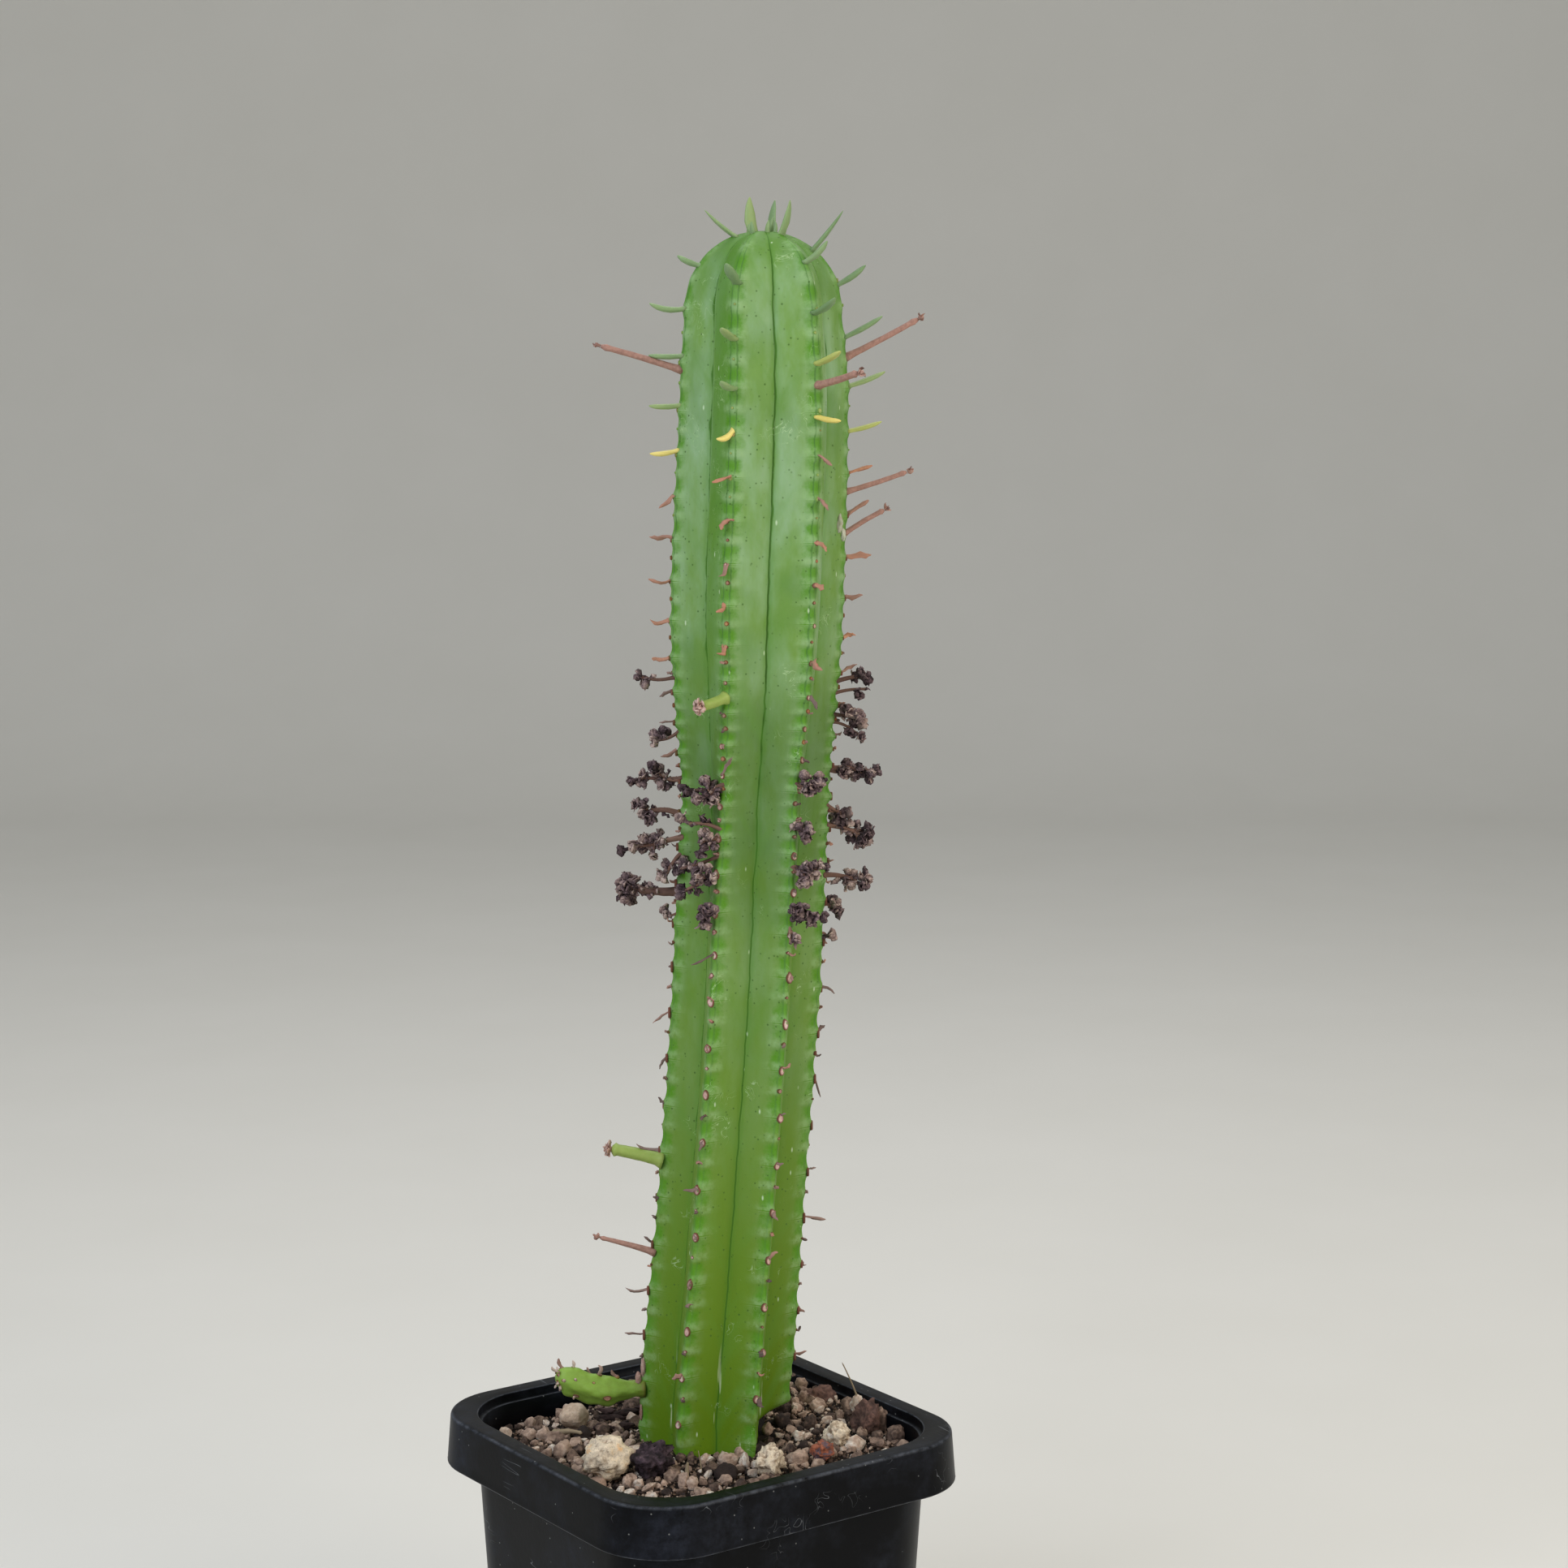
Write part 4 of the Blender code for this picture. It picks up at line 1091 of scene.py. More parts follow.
def ribbed_stem_tree():
    """Turns the stem's axis line, which carries radius, twist and scar count, into the ribbed skin."""
    tree, given, result = new_tree("Ribbed stem", around="Int", rows="Int", ribs="Int", first_rib="Float",
                                   tubercle="Float", short_rib="Int", short_end="Float", material="Material")
    tube = add(tree, "GeometryNodeMeshCylinder", {"Vertices": given["Around"], "Side Segments": given["Rows"],
                                                  "Radius": 1.0, "Depth": 1.0}, fill_type="NGON")
    place = add(tree, "ShaderNodeSeparateXYZ", {0: add(tree, "GeometryNodeInputPosition")})
    angle = add(tree, "ShaderNodeMath", {0: place.outputs["Y"], 1: place.outputs["X"]}, operation="ARCTAN2")
    # Rows crowd towards the tip, where the dome turns over.
    from_tip = add(tree, "ShaderNodeMath", {0: 0.5, 1: place.outputs["Z"]}, operation="SUBTRACT")
    crowded = add(tree, "ShaderNodeMath", {0: from_tip, 1: 1.35}, operation="POWER")
    share = add(tree, "ShaderNodeMath", {0: 1.0, 1: crowded}, operation="SUBTRACT")
    line = add(tree, "GeometryNodeMeshToCurve", {"Mesh": given["Geometry"]})
    read = {}
    for key in ("crest_radius", "groove_share", "twist", "scar_count", "above_rim", "knob"):
        named = add(tree, "GeometryNodeInputNamedAttribute", {"Name": key}, data_type="FLOAT")
        read[key] = add(tree, "GeometryNodeSampleCurve", {"Curves": line, "Value": named, "Factor": share},
                        data_type="FLOAT", mode="FACTOR")
    crest, twist = read["crest_radius"].outputs["Value"], read["twist"].outputs["Value"]
    axis = read["twist"].outputs["Position"]

    # Which rib this point belongs to, and how far from its crest it lies
    start = add(tree, "ShaderNodeMath", {0: twist, 1: given["First Rib"]}, operation="ADD")
    free = add(tree, "ShaderNodeMath", {0: angle, 1: start}, operation="SUBTRACT")
    step = add(tree, "ShaderNodeMath", {0: 2 * math.pi, 1: given["Ribs"]}, operation="DIVIDE")
    turns = add(tree, "ShaderNodeMath", {0: free, 1: step}, operation="DIVIDE")
    rib = add(tree, "ShaderNodeMath", {0: turns}, operation="ROUND")
    side = add(tree, "ShaderNodeMath", {0: turns, 1: rib}, operation="SUBTRACT")
    away = add(tree, "ShaderNodeMath", {0: side, 1: 2.0}, operation="MULTIPLY")
    away = add(tree, "ShaderNodeMath", {0: away}, operation="ABSOLUTE")
    half = add(tree, "ShaderNodeMath", {0: step, 1: 0.5}, operation="MULTIPLY")
    from_crest = add(tree, "ShaderNodeMath", {0: away, 1: half}, operation="MULTIPLY")
    from_groove = add(tree, "ShaderNodeMath", {0: half, 1: from_crest}, operation="SUBTRACT")
    rib_number = add(tree, "ShaderNodeMath", {0: rib, 1: given["Ribs"]}, operation="FLOORED_MODULO")

    # One rib stops a little above the mix: its crest sinks to the groove there.
    is_short = add(tree, "ShaderNodeMath", {0: rib_number, 1: given["Short Rib"], 2: 0.1},
                   operation="COMPARE")
    end_low = add(tree, "ShaderNodeMath", {0: given["Short End"], 1: 3.5 * MM}, operation="SUBTRACT")
    reach = add(tree, "ShaderNodeMapRange", {"Value": read["above_rim"].outputs["Value"], "From Min": end_low,
                                             "From Max": given["Short End"]}, interpolation_type="SMOOTHSTEP")
    missing = add(tree, "ShaderNodeMath", {0: 1.0, 1: reach}, operation="SUBTRACT")
    sunk = add(tree, "ShaderNodeMath", {0: missing, 1: is_short}, operation="MULTIPLY")
    groove = add(tree, "ShaderNodeMath", {0: crest, 1: read["groove_share"].outputs["Value"]},
                 operation="MULTIPLY")
    ridge = add(tree, "ShaderNodeMix", {"Factor": sunk, "A": crest, "B": groove}, data_type="FLOAT")

    # Straight flank between crest and groove, as the line through both in polar form
    sines = [add(tree, "ShaderNodeMath", {0: value}, operation="SINE")
             for value in (half, from_crest, from_groove)]
    top = add(tree, "ShaderNodeMath", {0: ridge, 1: groove}, operation="MULTIPLY")
    top = add(tree, "ShaderNodeMath", {0: top, 1: sines[0]}, operation="MULTIPLY")
    low = add(tree, "ShaderNodeMath", {0: ridge, 1: sines[1]}, operation="MULTIPLY")
    low = add(tree, "ShaderNodeMath", {0: groove, 1: sines[2], 2: low}, operation="MULTIPLY_ADD")
    flank = add(tree, "ShaderNodeMath", {0: top, 1: low}, operation="DIVIDE")
    swell = add(tree, "ShaderNodeFloatCurve", {"Value": away},
                points=((0, 0), (0.25, 0.35), (0.6, 0.85), (0.86, 0.8), (1, 0)))
    plump = add(tree, "ShaderNodeMath", {0: crest, 1: 0.05}, operation="MULTIPLY")
    flank = add(tree, "ShaderNodeMath", {0: swell, 1: plump, 2: flank}, operation="MULTIPLY_ADD")
    rounded = add(tree, "ShaderNodeMath", {0: ridge, 1: 0.982}, operation="MULTIPLY")
    blunt = add(tree, "ShaderNodeMath", {0: crest, 1: 0.06}, operation="MULTIPLY")
    radius = add(tree, "ShaderNodeMath", {0: flank, 1: rounded, 2: blunt}, operation="SMOOTH_MIN")

    # Swellings under each scar and each eye, half a step apart on neighbouring ribs
    odd = add(tree, "ShaderNodeMath", {0: rib_number, 1: 0.5, 2: read["scar_count"].outputs["Value"]},
              operation="MULTIPLY_ADD")
    count = add(tree, "ShaderNodeMath", {0: odd}, operation="FRACT")
    wave = add(tree, "ShaderNodeFloatCurve", {"Value": count}, points=SCAR_WAVE)
    near = add(tree, "ShaderNodeFloatCurve", {"Value": away},
               points=((0, 1), (0.13, 0.8), (0.26, 0.28), (0.42, 0.04), (1, 0)))
    bump = add(tree, "ShaderNodeMath", {0: wave, 1: 0.5}, operation="SUBTRACT")
    bump = add(tree, "ShaderNodeMath", {0: bump, 1: near}, operation="MULTIPLY")
    knob = add(tree, "ShaderNodeMath", {0: read["knob"].outputs["Value"], 1: given["Tubercle"]},
               operation="MULTIPLY")
    bump = add(tree, "ShaderNodeMath", {0: bump, 1: knob, 2: radius}, operation="MULTIPLY_ADD")

    # Place of the point on the skin, with slight dents in the flesh
    way = add(tree, "ShaderNodeCombineXYZ", {0: add(tree, "ShaderNodeMath", {0: angle}, operation="COSINE"),
                                             1: add(tree, "ShaderNodeMath", {0: angle}, operation="SINE")})
    out = add(tree, "ShaderNodeVectorMath", {0: way, "Scale": bump}, operation="SCALE")
    skin = add(tree, "ShaderNodeVectorMath", {0: axis, 1: out}, operation="ADD")
    stretched = add(tree, "ShaderNodeVectorMath", {0: skin, 1: (1.0, 1.0, 0.3)}, operation="MULTIPLY")
    dents = add(tree, "ShaderNodeTexNoise", {"Vector": stretched, "Scale": per(5.0), "Detail": 2.0})
    dent = add(tree, "ShaderNodeMath", {0: dents, 1: 0.5}, operation="SUBTRACT")
    dent = add(tree, "ShaderNodeMath", {0: dent, 1: 0.55 * MM}, operation="MULTIPLY")
    push = add(tree, "ShaderNodeVectorMath", {0: way, "Scale": dent}, operation="SCALE")
    final = add(tree, "ShaderNodeVectorMath", {0: skin, 1: push}, operation="ADD")

    moved = tube.outputs["Mesh"]
    # The place across the groove, and which rib gets a band of painted shade on its outer side
    across = add(tree, "ShaderNodeMath", {0: side, 1: 1.0}, operation="FLOORED_MODULO")
    across = add(tree, "ShaderNodeMath", {0: across, 1: 0.5}, operation="SUBTRACT")
    painted_light_mask = add(tree, "ShaderNodeMath", {0: rib_number, 1: 0.0, 2: 0.1}, operation="COMPARE")
    fields = {"from_crest": away, "scar_share": count, "above_rim": read["above_rim"].outputs["Value"],
              "side": side, "across_groove": across, "rubbed_rib": painted_light_mask}
    for key, value in fields.items():
        stored = add(tree, "GeometryNodeStoreNamedAttribute",
                     {"Geometry": moved, "Name": key, "Value": value}, data_type="FLOAT", domain="POINT")
        moved = stored.outputs[0]
    moved = add(tree, "GeometryNodeSetPosition", {"Geometry": moved, "Position": final})
    whole = add(tree, "GeometryNodeRealizeInstances", {"Geometry": moved})
    dressed = add(tree, "GeometryNodeSetMaterial", {"Geometry": whole, "Material": given["Material"]})
    tree.links.new(dressed.outputs[0], result.inputs[0])
    return tree


def stem_axis_line():
    """The stem's axis as a line of points that carry its radius, twist and scar count."""
    heights = [-20.0 + 2.0 * i for i in range(int((DOME_FOOT + 20) / 2) + 1)]
    steps = 24
    heights += [DOME_FOOT + DOME_RISE * math.sin(math.pi / 2 * i / steps) for i in range(1, steps + 1)]
    mesh = bpy.data.meshes.new("stem_axis")
    mesh.from_pydata([axis_at(h) for h in heights], [(i, i + 1) for i in range(len(heights) - 1)], [])
    values = {"crest_radius": [max(crest_at(h), 0.12) * MM for h in heights],
              "groove_share": [between(STEM_PROFILE, min(h, DOME_FOOT), 3) for h in heights],
              "twist": [twist_at(h) for h in heights],
              "scar_count": [phase_at(h) if h > FIRST_SCAR else (h - FIRST_SCAR) / SCAR_PITCH[0][1]
                             for h in heights], "above_rim": [h * MM for h in heights],
                             "knob": [between(KNOBS, h) * MM for h in heights]}
    for key, row in values.items():
        mesh.attributes.new(key, "FLOAT", "POINT").data.foreach_set("value", row)
    return new_object("stem_axis", mesh)


def skin_material(name, low_skin, high_skin, crest):
    """Succulent epidermis: waxy and half matt, blue with bloom near the tip and yellower with age."""
    made, tree, shader = new_material(name, 0.58, Specular_IOR_Level=0.14, Subsurface_Weight=0.1,
                                      Subsurface_Scale=1.6 * MM, Subsurface_Radius=(0.5, 1.0, 0.25))
    coords = add(tree, "ShaderNodeTexCoord").outputs["Object"]
    part = {key: add(tree, "ShaderNodeAttribute", attribute_name=key).outputs["Fac"]
            for key in ("from_crest", "scar_share", "above_rim", "side", "across_groove", "rubbed_rib")}
    up = add(tree, "ShaderNodeMapRange", {"Value": part["above_rim"], "From Min": 0.0, "From Max": 205 * MM})
    age = add(tree, "ShaderNodeMix", {"Factor": up, "A": low_skin, "B": high_skin}, data_type="RGBA")
    # Cloudy patches a few millimetres across, drawn out along the stem
    drawn = add(tree, "ShaderNodeVectorMath", {0: coords, 1: (1.0, 1.0, 0.4)}, operation="MULTIPLY")
    cloud = add(tree, "ShaderNodeTexNoise",
                {"Vector": drawn, "Scale": per(6.0), "Detail": 4.0, "Roughness": 0.6})
    cloud_share = add(tree, "ShaderNodeMapRange", {"Value": cloud, "From Min": 0.38, "From Max": 0.66})
    bloom_up = add(tree, "ShaderNodeMapRange",
                   {"Value": up, "From Min": 0.15, "From Max": 0.85, "To Max": 0.7})
    bloom = add(tree, "ShaderNodeMath", {0: cloud_share, 1: bloom_up}, operation="MULTIPLY")
    blue = add(tree, "ShaderNodeTexNoise", {"Vector": coords, "Scale": per(11.0), "Detail": 2.0})
    blue_share = add(tree, "ShaderNodeMapRange",
                     {"Value": blue, "From Min": 0.48, "From Max": 0.7, "To Max": 0.55})
    blue_up = add(tree, "ShaderNodeMapRange", {"Value": up, "From Min": 0.1, "From Max": 0.5})
    blue_share = add(tree, "ShaderNodeMath", {0: blue_share, 1: blue_up}, operation="MULTIPLY")

    # Painted shade darkens the narrow waist, and the newest skin, at the crown, is a fresher green.
    painted_waist_shade = add(tree, "ShaderNodeFloatCurve", {"Value": up},
                points=((0, 0), (0.4, 0), (0.5, 0.42), (0.58, 0.42), (0.67, 0), (1, 0)))
    crown = add(tree, "ShaderNodeMapRange",
                {"Value": part["above_rim"], "From Min": 197 * MM, "From Max": 203.5 * MM, "To Max": 0.8})

    # Soft slanting bands that run from the grooves up to the crests
    slant = add(tree, "ShaderNodeMath", {0: part["above_rim"], 1: per(7.0)}, operation="MULTIPLY")
    slant = add(tree, "ShaderNodeMath", {0: part["from_crest"], 1: 1.3, 2: slant}, operation="MULTIPLY_ADD")
    across = add(tree, "ShaderNodeMath", {0: part["side"], 1: 0.9}, operation="MULTIPLY")
    band_place = add(tree, "ShaderNodeCombineXYZ", {0: slant, 1: across})
    bands = add(tree, "ShaderNodeTexNoise",
                {"Vector": band_place, "Scale": 1.0, "Detail": 3.0, "Roughness": 0.55})
    band = add(tree, "ShaderNodeMapRange", {"Value": bands, "From Min": 0.5, "From Max": 0.7, "To Max": 0.35})

    # Painted shade: a darker green band on the outer side of one rib, on the young part.
    young = add(tree, "ShaderNodeMapRange", {"Value": up, "From Min": 0.5, "From Max": 0.8})
    painted_rib_shade = add(tree, "ShaderNodeFloatCurve",
               {"Value": add(tree, "ShaderNodeMath", {0: part["side"], 1: 0.5})},
               points=((0, 0), (0.04, 0.15), (0.12, 0.9), (0.4, 1), (0.47, 0.5), (0.55, 0.15),
                       (0.62, 0), (1, 0)))
    painted_rib_shade = add(tree, "ShaderNodeMath", {0: painted_rib_shade, 1: young}, operation="MULTIPLY")
    painted_rib_shade = add(tree, "ShaderNodeMath", {0: painted_rib_shade, 1: part["rubbed_rib"]}, operation="MULTIPLY")
    painted_rib_shade = add(tree, "ShaderNodeMath", {0: painted_rib_shade, 1: 0.75}, operation="MULTIPLY")

    # Deep green on the crest between the scars, and pale wax round the scars and eyes
    worn = add(tree, "ShaderNodeTexNoise",
               {"Vector": coords, "Scale": per(1.3), "Detail": 4.0, "Roughness": 0.65})
    frayed = add(tree, "ShaderNodeMath", {0: worn, 1: 0.3, 2: part["from_crest"]}, operation="MULTIPLY_ADD")
    near = add(tree, "ShaderNodeMapRange", {"Value": frayed, "From Min": 0.42, "From Max": 0.27})
    deep = add(tree, "ShaderNodeFloatCurve", {"Value": part["scar_share"]},
               points=((0, 0.25), (0.1, 0.6), (0.2, 1.0), (0.36, 1.0), (0.47, 0.3), (0.6, 0.0), (0.72, 0.7),
                       (0.86, 0.85), (1, 0.25)))
    deep = add(tree, "ShaderNodeMath", {0: deep, 1: near}, operation="MULTIPLY")
    deep = add(tree, "ShaderNodeMath", {0: deep, 1: 0.85}, operation="MULTIPLY")
    # Two thin dark lines fringe the crest, and waver beside it.
    waver = add(tree, "ShaderNodeMath", {0: worn, 1: 0.09, 2: part["from_crest"]}, operation="MULTIPLY_ADD")
    fringe = add(tree, "ShaderNodeFloatCurve", {"Value": waver},
                 points=((0, 0), (0.095, 0), (0.12, 1), (0.135, 0.9), (0.16, 0), (1, 0)))
    aged = add(tree, "ShaderNodeMapRange",
               {"Value": up, "From Min": 0.1, "From Max": 0.7, "To Min": 0.25, "To Max": 0.85})
    fringe = add(tree, "ShaderNodeMath", {0: fringe, 1: aged}, operation="MULTIPLY")
    halo = add(tree, "ShaderNodeFloatCurve", {"Value": part["scar_share"]},
               points=((0, 0.7), (0.12, 0.7), (0.26, 0.15), (0.45, 0.15), (0.58, 0.8), (0.72, 0.3),
                       (0.88, 0.3), (1, 0.7)))
    ring = add(tree, "ShaderNodeFloatCurve", {"Value": part["from_crest"]},
               points=((0, 0.7), (0.1, 0.9), (0.26, 0.6), (0.42, 0.1), (1, 0)))
    halo = add(tree, "ShaderNodeMath", {0: halo, 1: ring}, operation="MULTIPLY")
    patchy = add(tree, "ShaderNodeMapRange",
                 {"Value": worn, "From Min": 0.35, "From Max": 0.6, "To Min": 0.15, "To Max": 0.7})
    halo = add(tree, "ShaderNodeMath", {0: halo, 1: patchy}, operation="MULTIPLY")

    # Groove: a thin dark crease, with painted shade on the flesh beside it
    wander = add(tree, "ShaderNodeTexNoise",
                 {"W": add(tree, "ShaderNodeMath", {0: part["above_rim"], 1: per(7.0)}, operation="MULTIPLY"),
                  "Scale": 1.0, "Detail": 3.0}, noise_dimensions="1D")
    wander = add(tree, "ShaderNodeMapRange", {"Value": wander, "To Min": -0.035, "To Max": 0.035})
    crease = add(tree, "ShaderNodeMath", {0: part["across_groove"], 1: wander}, operation="ADD")
    crease = add(tree, "ShaderNodeMath", {0: crease}, operation="ABSOLUTE")
    crease = add(tree, "ShaderNodeMapRange",
                 {"Value": crease, "From Min": 0.02, "From Max": 0.008, "To Max": 0.85})
    painted_groove_shade = add(tree, "ShaderNodeMapRange",
                 {"Value": part["from_crest"], "From Min": 0.8, "From Max": 1.0, "To Max": 0.3})

    # Fine dark stomata and a few pale flecks
    dots = add(tree, "ShaderNodeTexVoronoi", {"Vector": coords, "Scale": per(1.1), "Randomness": 1.0})
    dot = add(tree, "ShaderNodeMapRange", {"Value": dots, "From Min": 0.2, "From Max": 0.1})
    some = add(tree, "ShaderNodeTexNoise", {"Vector": coords, "Scale": per(3.0)})
    some = add(tree, "ShaderNodeMapRange",
               {"Value": some, "From Min": 0.42, "From Max": 0.58, "To Max": 0.75})
    dot = add(tree, "ShaderNodeMath", {0: dot, 1: some}, operation="MULTIPLY")
    flecks = add(tree, "ShaderNodeTexVoronoi", {"Vector": drawn, "Scale": per(2.9), "Randomness": 1.0})
    fleck = add(tree, "ShaderNodeMapRange",
                {"Value": flecks, "From Min": 0.075, "From Max": 0.03, "To Max": 0.7})
    # Pale scratches here and there, and pale cracks beside the grooves near the mix
    hair = add(tree, "ShaderNodeTexNoise",
               {"Vector": coords, "Scale": per(2.4), "Detail": 2.0, "Distortion": 1.2})
    hair = add(tree, "ShaderNodeMath",
               {0: add(tree, "ShaderNodeMath", {0: hair, 1: 0.5}, operation="SUBTRACT")},
               operation="ABSOLUTE")
    hair = add(tree, "ShaderNodeMapRange", {"Value": hair, "From Min": 0.012, "From Max": 0.003})
    patch = add(tree, "ShaderNodeTexNoise", {"Vector": coords, "Scale": per(6.5), "Detail": 1.0})
    patch = add(tree, "ShaderNodeMapRange",
                {"Value": patch, "From Min": 0.62, "From Max": 0.68, "To Max": 0.4})
    hair = add(tree, "ShaderNodeMath", {0: hair, 1: patch}, operation="MULTIPLY")
    tall = add(tree, "ShaderNodeVectorMath", {0: coords, 1: (1.0, 1.0, 0.07)}, operation="MULTIPLY")
    crack = add(tree, "ShaderNodeTexNoise", {"Vector": tall, "Scale": per(0.9), "Detail": 2.0})
    crack = add(tree, "ShaderNodeMapRange", {"Value": crack, "From Min": 0.6, "From Max": 0.66})
    foot = add(tree, "ShaderNodeMapRange",
               {"Value": part["above_rim"], "From Min": 17 * MM, "From Max": 5 * MM})
    crack = add(tree, "ShaderNodeMath", {0: crack, 1: foot}, operation="MULTIPLY")
    middle = add(tree, "ShaderNodeMapRange",
                 {"Value": part["from_crest"], "From Min": 0.8, "From Max": 0.88, "To Max": 0.8})
    crack = add(tree, "ShaderNodeMath", {0: crack, 1: middle}, operation="MULTIPLY")

    tone = painted(tree, age,
                   ((bloom, "94b390"), (blue_share, "5d8447"), (painted_waist_shade, "395a1e"), (crown, "4f7d24"),
                    (band, "5d8a35"), (painted_rib_shade, "4f8022"), (deep, crest), (fringe, "42702c"), (halo, "9abb84"),
                    (painted_groove_shade, "5c8f33"), (crease, "3b6a18"), (dot, "3c5c22"), (fleck, "c9dcb8"),
                    (hair, "bdd6a4"), (crack, "c3cfa6")))
    grain = add(tree, "ShaderNodeTexNoise", {"Vector": coords, "Scale": per(0.55), "Detail": 3.0})
    pores = add(tree, "ShaderNodeMath", {0: dot, 1: -0.6, 2: grain}, operation="MULTIPLY_ADD")
    finish(tree, shader, tone, pores, 0.25, 0.12)
    return made


class EuphorbiaStemSettings(bpy.types.PropertyGroup):
    """Shape and skin of the ribbed stem."""

    around: IntProperty(name="Points around", description="Mesh points round the stem", default=204, min=60)
    rows: IntProperty(name="Rows", description="Mesh rows up the stem", default=460, min=100)
    tubercle: FloatProperty(name="Tubercles", description="How much the skin swells under the scars",
                            default=1.0, min=0, max=2)
    low_skin: FloatVectorProperty(name="Old skin", description="Colour near the mix", subtype="COLOR",
                                  default=rgb("5d7d12"), min=0, max=1)
    high_skin: FloatVectorProperty(name="Young skin", description="Colour near the tip", subtype="COLOR",
                                   default=rgb("749a52"), min=0, max=1)
    crest: FloatVectorProperty(name="Crest", description="Deep green between the scars", subtype="COLOR",
                               default=rgb("4d870c"), min=0, max=1)


class OBJECT_OT_euphorbia_stem(bpy.types.Operator):
    """Grow the ribbed stem from its axis line."""

    bl_idname = "object.euphorbia_stem"
    bl_label = "Ribbed Stem"

    def execute(self, context):
        look = context.scene.euphorbia_stem
        skin = skin_material("Waxy succulent skin", (*look.low_skin, 1), (*look.high_skin, 1),
                             (*look.crest, 1))
        stem = grown(stem_axis_line(), ribbed_stem_tree(), "stem", around=look.around, rows=look.rows,
                     ribs=RIBS, first_rib=PLANT_TURN - math.pi / 2 + FRONT_RIB, tubercle=look.tubercle,
                     short_rib=RIGHT, short_end=2.5 * MM, material=skin)
        keep(stem, "stem_skin", "ribbed_stem")
        return {"FINISHED"}


# ---------------------------------------------------------------- scars and leaves

# Dried leaves: rib, number of the scar, length in millimetres, rise and sideways swing in degrees
DRIED_LEAVES = ((FRONT_LEFT, 23, 3.6, -14, -38), (FRONT_LEFT, 22, 3.0, -30, -10),
                (FRONT_LEFT, 21, 3.2, -38, -12), (FRONT_LEFT, 20, 2.6, -30, -16),
                (FRONT_LEFT, 19, 2.2, -34, -24), (FRONT_LEFT, 15, 4.6, 44, 62),
                (FRONT_RIGHT, 17.5, 3.2, -38, -10), (FRONT_RIGHT, 23.5, 3.0, -36, 22),
                (FRONT_RIGHT, 22.5, 3.0, -42, 16), (FRONT_RIGHT, 21.5, 2.8, -34, 12),
                (FRONT_RIGHT, 20.5, 2.0, -20, 14), (FRONT_RIGHT, 18.5, 2.6, -30, 6),
                (LEFT, 22.5, 3.4, -42, 0), (LEFT, 21.5, 3.8, 4, 0), (LEFT, 20.5, 3.7, 2, 0),
                (LEFT, 19.5, 3.3, 2, 0), (LEFT, 18.5, 3.1, -6, 0), (LEFT, 17.5, 2.4, -24, 0),
                (LEFT, 16.5, 2.6, -4, 0), (LEFT, 15.5, 3.0, -18, 0), (RIGHT, 23, 4.3, 16, 0),
                (RIGHT, 22, 4.4, 32, 0), (RIGHT, 21, 4.4, 6, 0), (RIGHT, 20, 3.2, 4, 0),
                (RIGHT, 19, 2.2, 4, 0), (RIGHT, 18, 3.0, 22, 0), (BACK_RIGHT, 23.5, 3.4, -6, 0),
                (BACK_RIGHT, 22.5, 3.4, 8, 0), (BACK_RIGHT, 21.5, 3.2, -12, 0), (BACK_RIGHT, 20.5, 3.0, 2, 0),
                (BACK_RIGHT, 19.5, 2.4, -18, 0), (BACK_LEFT, 23, 3.6, 2, 0), (BACK_LEFT, 22, 3.4, -14, 0),
                (BACK_LEFT, 21, 3.0, 10, 0), (BACK_LEFT, 20, 2.8, -8, 0), (BACK_LEFT, 19, 2.2, -20, 0),
                (FRONT_LEFT, 10, 4.2, -24, -50), (LEFT, 8.5, 3.6, -38, 0), (LEFT, 7.5, 2.6, -60, 0),
                (LEFT, 5.5, 4.2, 16, 0), (LEFT, 2.5, 4.0, 4, 0), (LEFT, 1.5, 3.4, 4, 0),
                (RIGHT, 9, 2.6, -30, 0), (RIGHT, 7, 3.8, -75, 0), (RIGHT, 4, 3.8, -10, 0),
                (FRONT_RIGHT, 10.5, 3.4, -48, -14), (FRONT_LEFT, 6, 1.8, -70, -10),
                (FRONT_LEFT, 5, 2.6, -6, -56), (FRONT_RIGHT, 4.5, 1.8, -50, 20), (BACK_LEFT, 8, 3.0, -20, 0),
                (BACK_RIGHT, 6.5, 3.2, 6, 0), (BACK_RIGHT, 10.5, 3.4, -30, 0), (BACK_LEFT, 4, 3.4, 10, 0))
# Heights above the rim, in millimetres: leaf stubs and withered eyes end here, and scars are pale above
STUBS_TO = 126
OLD_TO = 130
PALE_SCARS_FROM = 158
# Leaves that have turned yellow before they drop, and the ones on the way there
YELLOW_LEAVES = ("leaf_left_1", "leaf_front_right_1")
TURNING_LEAVES = ("leaf_right_1", "leaf_front_right_2")
# How far some of the tips hang under their solids', in millimetres
LEAF_DROOP = {"leaf_front_right_1": 1.2, "leaf_left_1": 0.3, "leaf_front_right_2": -0.3}
# More leaves on the front ribs: rib, height above the rim, length, rise and swing in degrees, tone
MORE_LEAVES = ((FRONT_LEFT, 171.6, 3.2, -26, -46, 0.95), (FRONT_RIGHT, 199.0, 5.4, 40, 26, 0.15))
# Short leaves that are still growing at the crown: turn from the front, distance from the axis, height
# above the rim, length and rise
YOUNG_LEAVES = ((20, 2.2, 204.0, 2.0, 84), (75, 1.5, 204.2, 2.4, 86), (-40, 2.6, 203.6, 2.2, 76),
                (-110, 2.0, 204.0, 1.8, 84), (140, 2.4, 203.9, 2.4, 78))
# Widths of the leaves of the ribs and of the crown, how deep their feet are sunk into the skin, and how
# far the crown's own reach past their solids, in millimetres
LEAF_WIDTH = 1.85
CROWN_LEAF_WIDTH = 2.7
LEAF_SUNK = 0.5
CROWN_LONGER = 1.1


